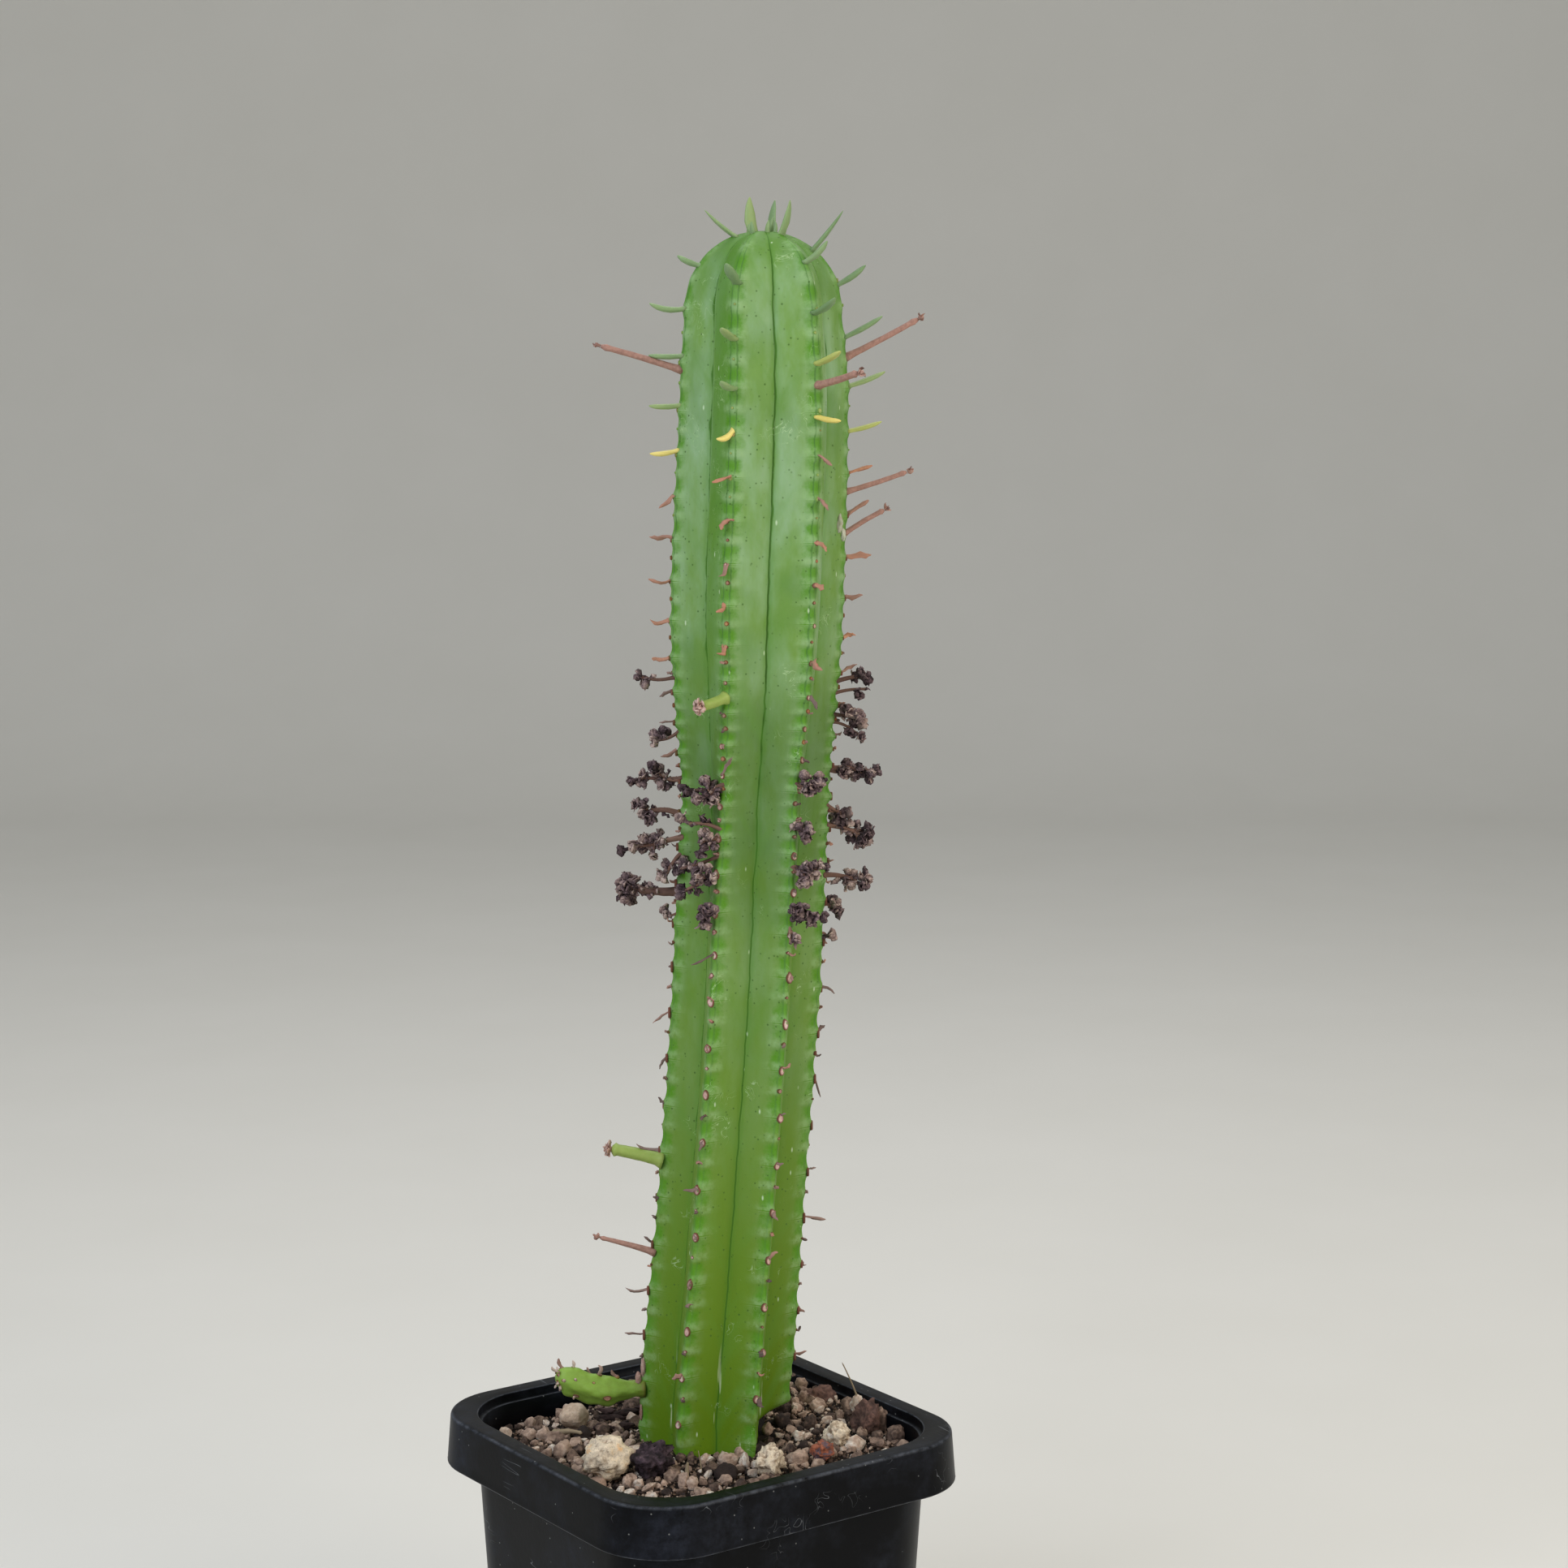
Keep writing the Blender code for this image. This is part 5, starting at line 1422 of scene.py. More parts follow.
def scar_numbers(rib):
    """Counts of a rib's scars: whole on every second rib and halves on the others."""
    number = 0.5 if rib % 2 else 0.0
    while scar_height(number) < DOME_FOOT + 11:
        yield number, scar_height(number)
        number += 1.0


def eye_height(number):
    """Height above the rim of the flower eye over the scar with this number, in millimetres."""
    return scar_height(number) + EYE_SHARE * (scar_height(number + 1) - scar_height(number))


def scar_spots():
    """Spots for the leaf scars, and for the flower eyes between them."""
    draw = random.Random(4)
    scars, eyes = [], []
    for rib in range(RIBS):
        for number, height in scar_numbers(rib):
            if rib == RIGHT and height < 4.0:
                continue
            young = max(0.0, min(1.0, (height - 98) / 24))
            place, way = skin_at(rib, height, draw.uniform(-0.25, 0.25), 0.06)
            turn = turned(Vector((0, 0, 1)), way) @ Matrix.Rotation(draw.uniform(-0.12, 0.12), 3, "Y")
            size = ((1.2 - 0.4 * young) * draw.uniform(0.85, 1.12), 1.0,
                    (1.85 - 0.9 * young) * draw.uniform(0.8, 1.12))
            tone = 0.1 * young + draw.uniform(0, 0.45)
            if height > PALE_SCARS_FROM:
                tone = draw.uniform(0.8, 1.0)
            scars.append(Spot(place, turn, size, tone, draw.randrange(6)))
            eye = eye_height(number)
            if eye < DOME_FOOT + 6:
                wide = draw.uniform(0.55, 0.9) if 60 < eye < 150 else draw.uniform(0.35, 0.62)
                tone = draw.uniform(0.2, 0.6)
                if 110 < eye < 155:
                    tone = draw.uniform(0.6, 0.76)
                elif eye >= 155:
                    tone = draw.uniform(0.85, 1.0)
                place, way = skin_at(rib, eye, draw.uniform(-0.3, 0.3), 0.02)
                eyes.append(Spot(place, turned(Vector((0, 0, 1)), way), (wide, 1.3, wide), tone,
                                 draw.randrange(6)))
    return scars, eyes


def leaf_spot(foot, leaf, width, thickness, tone, pick, roll=0.0):
    """Spot for a leaf that reaches from its foot along the vector leaf, its upper side turned up."""
    turn = turned(leaf) @ Matrix.Rotation(roll, 3, "Z")
    return Spot(foot, turn, (width, thickness, leaf.length / MM), tone, pick)


def leaf_way(rib, height, swing, rise, length):
    """Vector of a leaf that stands out of a rib, swung sideways and raised by these angles."""
    return outward(rib_turn(rib, height) + swing, rise) * (length * MM)


def green_leaf_spots():
    """The leaves that stand as solids, with their own foot and tip, sunk a little into the skin."""
    draw = random.Random(9)
    spots = []
    for node in sorted(nodes_named("leaf_")):
        foot, tip = ends_of(node)
        along = (tip - foot).normalized()
        tone = 0.12 + draw.uniform(-0.08, 0.1)
        if node in YELLOW_LEAVES:
            tone = draw.uniform(0.86, 1.0)
        elif node in TURNING_LEAVES:
            tone = 0.55
        elif node.endswith("_2"):
            tone = 0.3
        crown = node.startswith("leaf_crown")
        foot = stem_surface().find_nearest(foot)[0] - along * (LEAF_SUNK * MM)
        tip = tip + along * (CROWN_LONGER * MM * crown) - Vector((0, 0, LEAF_DROOP.get(node, 0.0) * MM))
        width = CROWN_LEAF_WIDTH if crown else LEAF_WIDTH
        spots.append(leaf_spot(foot, tip - foot, width * draw.uniform(0.92, 1.08), draw.uniform(0.95, 1.15),
                               tone, draw.randrange(4) + 4 * crown))
    for rib, height, length, rise, swing, tone in MORE_LEAVES:
        foot, _ = skin_at(rib, height, 0.0, 0.3)
        leaf = leaf_way(rib, height, math.radians(swing), math.radians(rise), length)
        spots.append(leaf_spot(foot, leaf, 1.5, 1.1, tone, draw.randrange(4)))
    for turn, out, height, length, rise in YOUNG_LEAVES:
        foot = axis_at(DOME_FOOT) + outward(math.radians(turn)) * (out * MM)
        foot.z = RIM_Z + height * MM
        leaf = outward(math.radians(turn), math.radians(rise)) * (length * MM)
        spots.append(leaf_spot(foot - leaf * 0.3, leaf * 1.3, 1.4, 0.9, draw.uniform(0.1, 0.3),
                               4 + draw.randrange(4)))
    return spots


def dried_leaf_spots():
    """Dried leaves that still hang on, and the stubs of broken ones on most other old scars."""
    draw = random.Random(21)
    spots = []
    for rib, number, length, rise, swing in DRIED_LEAVES:
        height = scar_height(number) + 0.3
        foot, _ = skin_at(rib, height, 0.0, 0.1)
        leaf = leaf_way(rib, height, math.radians(swing), math.radians(rise), length)
        wide = draw.uniform(0.85, 1.15) if height > OLD_TO else draw.uniform(0.6, 0.85)
        tone = draw.uniform(0.5, 0.9) if height > OLD_TO else draw.uniform(0.1, 0.5)
        spots.append(leaf_spot(foot, leaf, wide, wide * draw.uniform(0.5, 0.8), tone, draw.randrange(6),
                               draw.uniform(-0.9, 0.9)))
    taken = {(rib, number) for rib, number, *_ in DRIED_LEAVES}
    for rib in range(RIBS):
        for number, height in scar_numbers(rib):
            if (rib, number) in taken or not 3 <= height <= STUBS_TO or draw.random() < 0.25:
                continue
            old = 1.0 + 0.5 * max(0.0, 1 - height / 60)
            length = old * draw.uniform(0.7, 1.7)
            foot, _ = skin_at(rib, height + 0.4, draw.uniform(-0.3, 0.3), 0.1)
            stub = leaf_way(rib, height, draw.uniform(-0.8, 0.8), draw.uniform(-0.9, 0.7), length)
            spots.append(leaf_spot(foot, stub, old * draw.uniform(0.45, 0.8), draw.uniform(0.3, 0.45),
                                   draw.uniform(0.0, 0.6), draw.randrange(6), draw.uniform(-1.5, 1.5)))
    # Withered bits on the flower eyes
    for rib in range(RIBS):
        for number, height in scar_numbers(rib):
            if not 2 <= height <= OLD_TO or draw.random() < 0.3:
                continue
            eye = eye_height(number)
            foot, _ = skin_at(rib, eye, draw.uniform(-0.2, 0.2), 0.1)
            bit = leaf_way(rib, eye, draw.uniform(-0.6, 0.6), draw.uniform(-0.6, 0.6), draw.uniform(0.6, 1.2))
            spots.append(leaf_spot(foot, bit, draw.uniform(0.5, 0.8), draw.uniform(0.4, 0.6),
                                   draw.uniform(0.0, 0.7), draw.randrange(6)))
    return spots


def scar_material():
    """Corky leaf scar: pinkish middle and a red-brown border, paler or browner from scar to scar."""
    made, tree, shader = new_material("Corky leaf scar", 0.72, Specular_IOR_Level=0.3)
    coords = add(tree, "ShaderNodeTexCoord").outputs["Object"]
    rim = add(tree, "ShaderNodeAttribute", attribute_name="rim").outputs["Fac"]
    tone = add(tree, "ShaderNodeAttribute", attribute_name="tone").outputs["Fac"]
    middle = add(tree, "ShaderNodeValToRGB", {"Fac": tone},
                 stops=((0.0, "dfc3bb"), (0.35, "cba69c"), (0.58, "a67f70"), (0.7, "bd8259"),
                        (0.82, "b39f6c"), (1.0, "adc079")))
    border = add(tree, "ShaderNodeValToRGB", {"Fac": tone},
                 stops=((0.0, "784a3c"), (0.35, "6d4533"), (0.58, "62502b"), (0.72, "7b4626"),
                        (0.85, "7d8f45"), (1.0, "7ba24b")))
    colour = add(tree, "ShaderNodeMix", {"Factor": rim, "A": middle, "B": border}, data_type="RGBA")
    fine = add(tree, "ShaderNodeTexNoise", {"Vector": coords, "Scale": per(0.4), "Detail": 4.0})
    shade = add(tree, "ShaderNodeMapRange",
                {"Value": fine, "From Min": 0.3, "From Max": 0.7, "To Min": 0.75, "To Max": 1.15})
    final = add(tree, "ShaderNodeVectorMath", {0: colour, "Scale": shade}, operation="SCALE")
    finish(tree, shader, final, fine, 0.4, 0.1)
    return made


def tissue_material(name, stops, grain_mm, roughness, glow=0.0, contrast=0.35):
    """Plant tissue, live or dry: a ramp of tones by piece, with streaks and wrinkles on it."""
    made, tree, shader = new_material(name, roughness, Specular_IOR_Level=0.3, Subsurface_Weight=glow,
                                      Subsurface_Scale=0.6 * MM, Subsurface_Radius=(0.6, 1.0, 0.3))
    coords = add(tree, "ShaderNodeTexCoord").outputs["Object"]
    tone = add(tree, "ShaderNodeAttribute", attribute_name="tone").outputs["Fac"]
    fine = add(tree, "ShaderNodeTexNoise",
               {"Vector": coords, "Scale": per(grain_mm), "Detail": 4.0, "Roughness": 0.65})
    shift = add(tree, "ShaderNodeMath", {0: fine, 1: 0.5}, operation="SUBTRACT")
    shift = add(tree, "ShaderNodeMath", {0: shift, 1: contrast, 2: tone}, operation="MULTIPLY_ADD")
    # A rim value paints a piece paler: the painted highlight on the dried flowers' petals and scraps
    edge = add(tree, "ShaderNodeAttribute", attribute_name="rim").outputs["Fac"]
    shift = add(tree, "ShaderNodeMath", {0: edge, 1: 0.4, 2: shift}, operation="MULTIPLY_ADD")
    colour = add(tree, "ShaderNodeValToRGB", {"Fac": shift}, stops=stops)
    finish(tree, shader, colour, fine, 0.4, 0.12)
    return made


class OBJECT_OT_euphorbia_scars(bpy.types.Operator):
    """Set the leaf scars and flower eyes along the ribs."""

    bl_idname = "object.euphorbia_scars"
    bl_label = "Leaf Scars and Eyes"

    def execute(self, context):
        scars, eyes = scar_spots()
        cork = scar_material()
        keep(on_points("leaf_scars", scars, shape_set("scar", [scar_shape(i * 1.7) for i in range(6)]), cork),
             "brown_stalk")
        keep(on_points("flower_eyes", eyes, shape_set("eye", [scar_shape(i * 2.3 + 9) for i in range(6)]),
                       cork), "brown_stalk")
        return {"FINISHED"}


class OBJECT_OT_euphorbia_leaves(bpy.types.Operator):
    """Set the green and yellowing leaves on the upper ribs and the crown."""

    bl_idname = "object.euphorbia_leaves"
    bl_label = "Leaves"

    def execute(self, context):
        leaf = tissue_material("Fleshy leaf",
                               ((0.0, "6b885c"), (0.15, "839d6f"), (0.35, "96a96c"), (0.55, "b2b868"),
                                (0.8, "dcc664"), (1.0, "ead680")), 1.6, 0.48, 0.1, 0.2)
        bends = ((0.3, 0.0), (0.6, 0.3), (0.9, -0.3), (0.45, 0.5))
        shapes = shape_set("leaf", [leaf_shape(curve, twist, 0.12, 3 + twist, taper) for taper in (0.0, 0.55)
                                    for curve, twist in bends])
        spots = green_leaf_spots()
        keep(on_points("leaves", spots, shapes, leaf), "leaf", *nodes_named("leaf_"))
        return {"FINISHED"}


class OBJECT_OT_euphorbia_dried_leaves(bpy.types.Operator):
    """Hang the shrivelled leaves and their stubs on the older scars."""

    bl_idname = "object.euphorbia_dried_leaves"
    bl_label = "Dried Leaves"

    def execute(self, context):
        dry = tissue_material("Dried leaf", ((0.0, "5b4b46"), (0.3, "88716a"), (0.6, "a67d6d"),
                                             (0.85, "b98166"), (1.0, "d3a688")), 0.7, 0.8)
        bends = ((0.4, 1.2), (-0.7, 2.2), (1.0, -1.0), (-0.4, -2.4), (1.4, 0.8), (0.2, 3.0))
        shapes = shape_set("dried_leaf", [leaf_shape(curve, twist, 0.7, 8 + index)
                                          for index, (curve, twist) in enumerate(bends)])
        keep(on_points("dried_leaves", dried_leaf_spots(), shapes, dry), "brown_stalk")
        return {"FINISHED"}


# ---------------------------------------------------------------- flower stalks and dried flowers

GREEN_STALKS = ("peduncle_front_stub", "peduncle_left_green")
# Radius of each stalk at its foot and near its end, in millimetres
STALK_RADII = {"peduncle_left_top": (0.55, 0.45), "peduncle_right_top": (0.58, 0.45),
               "peduncle_front_right": (0.6, 0.5), "peduncle_right_upper": (0.52, 0.42),
               "peduncle_right_lower": (0.42, 0.4), "peduncle_left_dry": (0.6, 0.3),
               "peduncle_front_stub": (0.85, 0.8), "peduncle_left_green": (1.15, 0.9)}
# Dried heads: rib, height where the stalk leaves the crest; the head's place out of the crest, across
# it and above that height; the head's spread; flowers in it; stalk radius. All but the rib and the
# count are in millimetres.
DRIED_HEADS = (
    (LEFT, 129.8, 5.6, 0.0, 0.2, 0.9, 2, 0.32), (LEFT, 120.6, 3.4, 0.0, -1.6, 1.1, 3, 0.3),
    (LEFT, 112.3, 3.2, 0.0, 0.5, 1.5, 4, 0.4), (LEFT, 112.3, 6.4, -0.4, 0.2, 1.5, 3, 0.4),
    (LEFT, 106.2, 5.4, 0.4, 0.6, 2.0, 6, 0.55), (LEFT, 102.4, 7.4, 0.6, -1.6, 1.8, 4, 0.4),
    (LEFT, 102.2, 4.2, 0.4, -1.2, 1.9, 6, 0.5), (LEFT, 99.4, 1.6, 1.2, -2.6, 1.6, 4, 0.4),
    (LEFT, 92.8, 6.6, 0.0, 0.4, 2.7, 10, 0.8), (LEFT, 89.2, 1.4, 0.2, -0.4, 0.7, 2, 0.25),
    (FRONT_LEFT, 112.6, 1.8, -1.2, -1.6, 1.8, 7, 0.4), (FRONT_LEFT, 112.4, 2.2, -3.6, -0.6, 0.9, 2, 0.3),
    (FRONT_LEFT, 105.0, 2.4, -4.6, 0.9, 1.1, 2, 0.35), (FRONT_LEFT, 103.8, 1.8, -2.0, -0.8, 1.5, 5, 0.4),
    (FRONT_LEFT, 100.6, 2.0, -6.4, -2.6, 1.3, 3, 0.3),
    (FRONT_LEFT, 97.5, 1.8, -1.0, -0.6, 1.5, 5, 0.35), (FRONT_LEFT, 97.0, 2.0, -4.6, -2.4, 1.5, 5, 0.35),
    (FRONT_LEFT, 91.6, 1.8, -1.6, -1.6, 1.6, 6, 0.35),
    (FRONT_RIGHT, 112.6, 1.6, 0.4, -0.3, 1.2, 4, 0.35), (FRONT_RIGHT, 112.6, 1.8, 3.0, -0.2, 1.1, 3, 0.3),
    (FRONT_RIGHT, 105.2, 1.6, 0.6, -0.6, 1.2, 4, 0.3), (FRONT_RIGHT, 105.2, 1.6, 2.4, -1.0, 0.9, 2, 0.3),
    (FRONT_RIGHT, 98.6, 1.8, 0.6, -0.6, 1.5, 5, 0.4), (FRONT_RIGHT, 98.6, 2.2, 3.2, -0.4, 1.4, 4, 0.35),
    (FRONT_RIGHT, 91.6, 1.6, -0.2, -0.4, 1.4, 4, 0.35), (FRONT_RIGHT, 91.6, 2.0, 2.6, -1.4, 1.4, 4, 0.35),
    (FRONT_RIGHT, 88.4, 1.6, -0.8, -2.6, 0.8, 1, 0.3),
    (RIGHT, 128.6, 4.6, 0.0, 1.0, 1.3, 3, 0.4), (RIGHT, 126.6, 5.2, 0.0, 0.6, 0.8, 1, 0.3),
    (RIGHT, 123.0, 3.4, 0.0, -0.6, 1.5, 5, 0.4), (RIGHT, 121.8, 4.6, 0.2, -2.6, 1.3, 3, 0.3),
    (RIGHT, 113.8, 5.6, 0.0, -0.4, 2.1, 7, 0.5), (RIGHT, 113.6, 2.6, 0.2, 0.2, 1.2, 3, 0.4),
    (RIGHT, 107.6, 2.2, 0.0, -1.6, 1.5, 5, 0.4), (RIGHT, 104.0, 4.6, -0.2, -1.2, 1.9, 6, 0.45),
    (RIGHT, 104.0, 7.2, 0.0, -1.2, 0.9, 2, 0.3),
    (RIGHT, 95.4, 4.8, 0.0, -0.8, 2.1, 8, 0.5), (RIGHT, 90.4, 1.6, 0.0, -1.0, 1.3, 4, 0.35),
    (RIGHT, 85.2, 0.9, 0.0, -0.6, 0.5, 1, 0.25),
)


def tone_mesh():
    """An empty mesh whose points each have a tone."""
    bm = bmesh.new()
    bm.verts.layers.float.new("tone")
    return bm


def toned(bm, rings, tone):
    """Gives a new stretch of mesh its tone value."""
    layer = bm.verts.layers.float["tone"]
    for ring in rings:
        for vert in ring:
            vert[layer] = tone


def stalk(bm, foot, tip, radius, tip_radius, sag, tone, seed, side=None):
    """A drying flower stalk: lengthwise ridges, a swollen foot and a thickened end."""
    def radius_at(share, angle):
        body = radius + (tip_radius - radius) * share
        body *= 1 + 0.35 * max(0.0, 1 - share * 7) + 0.28 * max(0.0, 1 - abs(share - 0.95) * 14)
        body *= (1 + 0.07 * math.sin(4 * angle + seed)
                 + 0.08 * noise.noise(Vector((share * 9, angle, seed * 3.3))))
        return body * (0.55 if share > 0.999 else 1.0)
    toned(bm, rod(bm, bowed(foot, tip, sag, 16, side), radius_at, 14), tone)


def peduncle_piece(name, nodes, material, tone):
    """The stalks of these solids in one piece, each run into the skin at its foot, and their ends."""
    draw = random.Random(13)
    bm = tone_mesh()
    tips = []
    for index, node in enumerate(nodes):
        foot, tip = ends_of(node)
        along = (tip - foot).normalized()
        wide, narrow = STALK_RADII[node]
        foot = stem_surface().find_nearest(foot)[0] - along * (0.5 * MM)
        stalk(bm, foot, tip - along * (0.9 * MM), wide, narrow, draw.uniform(-0.25, 0.25), tone, index)
        tips.append((tip, along, narrow))
    return mesh_object(name, bm, material), tips


class OBJECT_OT_euphorbia_stalks(bpy.types.Operator):
    """Make the flower stalks that have lost their flowers, brown and green, with the claws left at their
    ends.
    """

    bl_idname = "object.euphorbia_stalks"
    bl_label = "Flower Stalks"

    def execute(self, context):
        draw = random.Random(17)
        brown = tissue_material("Drying flower stalk",
                                ((0.0, "543e38"), (0.35, "89665b"), (0.6, "a87f72"), (0.85, "ba9587"),
                                 (1.0, "cdb2a6")), 0.7, 0.7, 0.0, 0.75)
        green = tissue_material("Green flower stalk", ((0.0, "738c3a"), (0.5, "94a855"), (1.0, "b9b878")),
                                1.2, 0.5, 0.1, 0.4)
        dry_nodes = [name for name in nodes_named("peduncle") if name not in GREEN_STALKS]
        dry, tips = peduncle_piece("stalks_drying", dry_nodes, brown, 0.55)
        keep(dry, "brown_stalk", *dry_nodes)
        live, live_tips = peduncle_piece("stalks_green", GREEN_STALKS, green, 0.5)
        keep(live, "green_stalk", *GREEN_STALKS)
        blooms, claws = [], []
        for tip, along, _ in live_tips:
            for _ in range(5):
                way = (along + random_way(draw, 0.8)).normalized()
                start = tip - along * (1.2 * MM) + way * (0.25 * MM)
                blooms.append(Spot(start, spun(draw, way), (1.8, 1.8, 1.5), draw.uniform(0.5, 0.9),
                                   draw.randrange(4)))
        keep(on_points("stalk_blooms", blooms, shape_set("bloom", [floret_shape(20 + i) for i in range(4)]),
                       brown), "brown_stalk")
        for tip, along, radius in tips:
            for _ in range(6):
                way = (along + random_way(draw, 0.9)).normalized()
                start = tip - along * (0.8 * MM) + way * (radius * 0.3 * MM)
                claw = way * (draw.uniform(0.7, 1.3) * MM)
                claws.append(leaf_spot(start, claw, 0.45 + 0.5 * radius, 0.3, draw.uniform(0.15, 0.8),
                                       draw.randrange(4), draw.uniform(-3, 3)))
        shapes = shape_set("claw",
                           [leaf_shape(curve, 1.0, 0.6, i) for i, curve in enumerate((0.6, -0.8, 1.1, -0.4))])
        keep(on_points("stalk_claws", claws, shapes, brown), "brown_stalk")
        return {"FINISHED"}


class OBJECT_OT_euphorbia_dried_flowers(bpy.types.Operator):
    """Gather the shrivelled flowers of the middle ribs into heads on short branched stalks."""

    bl_idname = "object.euphorbia_dried_flowers"
    bl_label = "Dried Flowers"

    def execute(self, context):
        draw = random.Random(31)
        # The palest stops are the painted highlight on the petals
        stops = ((0.0, "2a1f24"), (0.3, "4a3a3e"), (0.52, "6f5c5f"), (0.75, "9c8680"), (1.0, "cab6aa"))
        dry = tissue_material("Dried flower", stops, 0.36, 0.85, 0.0, 1.1)
        twig = tissue_material("Dried flower twig", ((0.0, "4a3632"), (0.5, "75574b"), (1.0, "9b7a6a")), 0.6,
                               0.8)
        twigs = tone_mesh()
        flowers, scraps = [], []
        for index, (rib, height, out, across, up, spread, count, radius) in enumerate(DRIED_HEADS):
            root, _ = skin_at(rib, height, 0.0, 0.4)
            head = on_crest(rib, height + up, out, across)
            along = (head - root).normalized()
            stalk(twigs, root, head, radius, radius * 0.7, draw.uniform(-0.5, 0.5),
                  draw.uniform(0.2, 0.8), index)
            for number in range(count + count // 4):
                way = (along * 0.7 + random_way(draw)).normalized()
                reach = spread * draw.uniform(0.15, 0.75)
                start = root.lerp(head, draw.uniform(0.5, 1.05)) + way * (reach * 0.35 * MM)
                size = draw.uniform(1.9, 2.8)
                end = head + way * (reach * MM)
                if reach > 0.9:
                    stalk(twigs, head, end, 0.24, 0.17, draw.uniform(-0.2, 0.2),
                          draw.uniform(0.0, 0.6), number)
                    start = end
                flowers.append(Spot(start, spun(draw, way), (size, size, size * draw.uniform(0.8, 1.1)),
                                    draw.uniform(0.05, 0.6), draw.randrange(8)))
            for _ in range(2 * count):
                way = random_way(draw).normalized()
                start = root.lerp(head, draw.uniform(0.45, 1.1))
                start += way * (spread * draw.uniform(0.1, 0.7) * MM)
                size = draw.uniform(0.6, 1.2)
                scraps.append(Spot(start, spun(draw, way), (size, size, size * 1.2), draw.uniform(0.0, 0.6),
                                   draw.randrange(8)))
        keep(mesh_object("flower_twigs", twigs, twig), "dried_flower")
        keep(on_points("dried_flowers", flowers, shape_set("floret", [floret_shape(i) for i in range(8)]),
                       dry), "dried_flower", *nodes_named("dried_cluster"))
        keep(on_points("flower_scraps", scraps, shape_set("scrap", [flake_shape(i) for i in range(8)]), dry),
             "dried_flower")
        return {"FINISHED"}


# ---------------------------------------------------------------- side shoot and small marks

# The shoot's middle line: right, back and height above the rim in millimetres, and its radius
SHOOT_LINE = ((-9.4, 2.0, 4.9, 1.6), (-11.3, 1.9, 4.9, 1.5), (-12.8, 1.8, 4.8, 1.65), (-14.6, 1.7, 4.8, 2.25),
              (-16.3, 1.5, 4.8, 2.6), (-18.0, 1.35, 5.1, 2.6), (-19.9, 1.2, 5.6, 2.5),
              (-22.0, 0.9, 6.6, 2.55), (-23.4, 0.7, 7.2, 2.1), (-24.4, 0.6, 7.3, 1.5), (-25.0, 0.5, 7.3, 0.5))
# Its scars: share of the length, turn from the front up in radians, width and the dried leaf's length,
# both in millimetres
SHOOT_SCARS = ((0.3, 1.5, 0.9, 1.6), (0.4, -0.25, 1.15, 0.0), (0.44, -1.9, 0.7, 0.7), (0.52, 1.35, 0.8, 1.9),
               (0.56, 0.7, 0.5, 0.0), (0.6, 1.9, 0.6, 1.3), (0.66, -0.8, 0.95, 0.8), (0.72, 0.4, 0.5, 0.5),
               (0.76, 1.4, 0.8, 1.5), (0.82, -1.8, 0.6, 0.8), (0.84, 0.1, 0.5, 0.6), (0.87, 1.7, 0.7, 1.9),
               (0.88, -0.6, 0.5, 0.9), (0.9, 2.6, 0.6, 1.1), (0.92, 0.8, 0.6, 1.2), (0.94, -0.2, 0.5, 1.0),
               (0.95, 1.6, 0.6, 1.5), (0.95, -1.4, 0.5, 0.9))


class OBJECT_OT_euphorbia_shoot(bpy.types.Operator):
    """Lay the short side shoot over the mix, with its blunt ribs, scars and dried tip."""

    bl_idname = "object.euphorbia_shoot"
    bl_label = "Side Shoot"

    def execute(self, context):
        draw = random.Random(6)
        skin = tissue_material("Side shoot skin", ((0.0, "7a6a34"), (0.2, "728a30"), (0.5, "80a240"),
                                                   (0.8, "93b257"), (1.0, "bfcc92")), 1.5, 0.5, 0.12, 0.6)
        bm = tone_mesh()
        steps = 48
        line = [(place, *values) for place, values in enumerate(SHOOT_LINE)]
        last = len(SHOOT_LINE) - 1

        def radius_at(share, angle):
            base = between(line, share * last, 4)
            ribbed = 1 + 0.07 * math.cos(5 * angle) * min(1.0, share * 4)
            knobs = 0.06 * math.sin(share * 34 + (angle * 5 / math.pi)) * max(0.0, math.cos(5 * angle))
            return base * (ribbed + knobs)

        path = [from_plant(*[between(line, i / steps * last, column) for column in (1, 2, 3)])
                for i in range(steps + 1)]
        rings = rod(bm, path, radius_at, 40)
        for index, ring in enumerate(rings):
            toned(bm, [ring], 0.05 + 0.3 * min(index / 6, 1.0) + 0.2 * index / steps)
        keep(mesh_object("side_shoot", bm, skin), "side_shoot_skin", "basal_side_shoot")

        scars, bits = [], []
        for share, angle, wide, bit in SHOOT_SCARS:
            index = int(share * steps)
            along = (path[index + 1] - path[index - 1]).normalized()
            way = turned(along) @ Vector((math.cos(angle), math.sin(angle), 0))
            place = path[index] + way * (radius_at(share, angle) * 0.985 * MM)
            scars.append(Spot(place, turned(along, way), (wide, 0.8, wide * 1.3), draw.uniform(0.2, 0.9),
                              draw.randrange(6)))
            if bit:
                lean = (way + along * draw.uniform(0.2, 1.0)).normalized()
                bits.append(leaf_spot(place, lean * (bit * MM), 0.35 + 0.25 * bit, 0.4,
                                      draw.uniform(0.3, 0.95), draw.randrange(4), draw.uniform(-2, 2)))
        keep(on_points("side_shoot_scars", scars, shape_set("scar", [scar_shape(i * 1.7) for i in range(6)]),
                       scar_material()), "side_shoot_skin")
        tuft = tissue_material("Dried shoot leaf", ((0.0, "5d4438"), (0.5, "94756a"), (1.0, "c9b7aa")), 0.5,
                               0.85)
        shapes = shape_set("tuft",
                           [leaf_shape(curve, 1.4, 0.6, 5 + curve) for curve in (0.5, -0.7, 1.1, 0.2)])
        keep(on_points("side_shoot_leaves", bits, shapes, tuft), "brown_stalk")
        return {"FINISHED"}


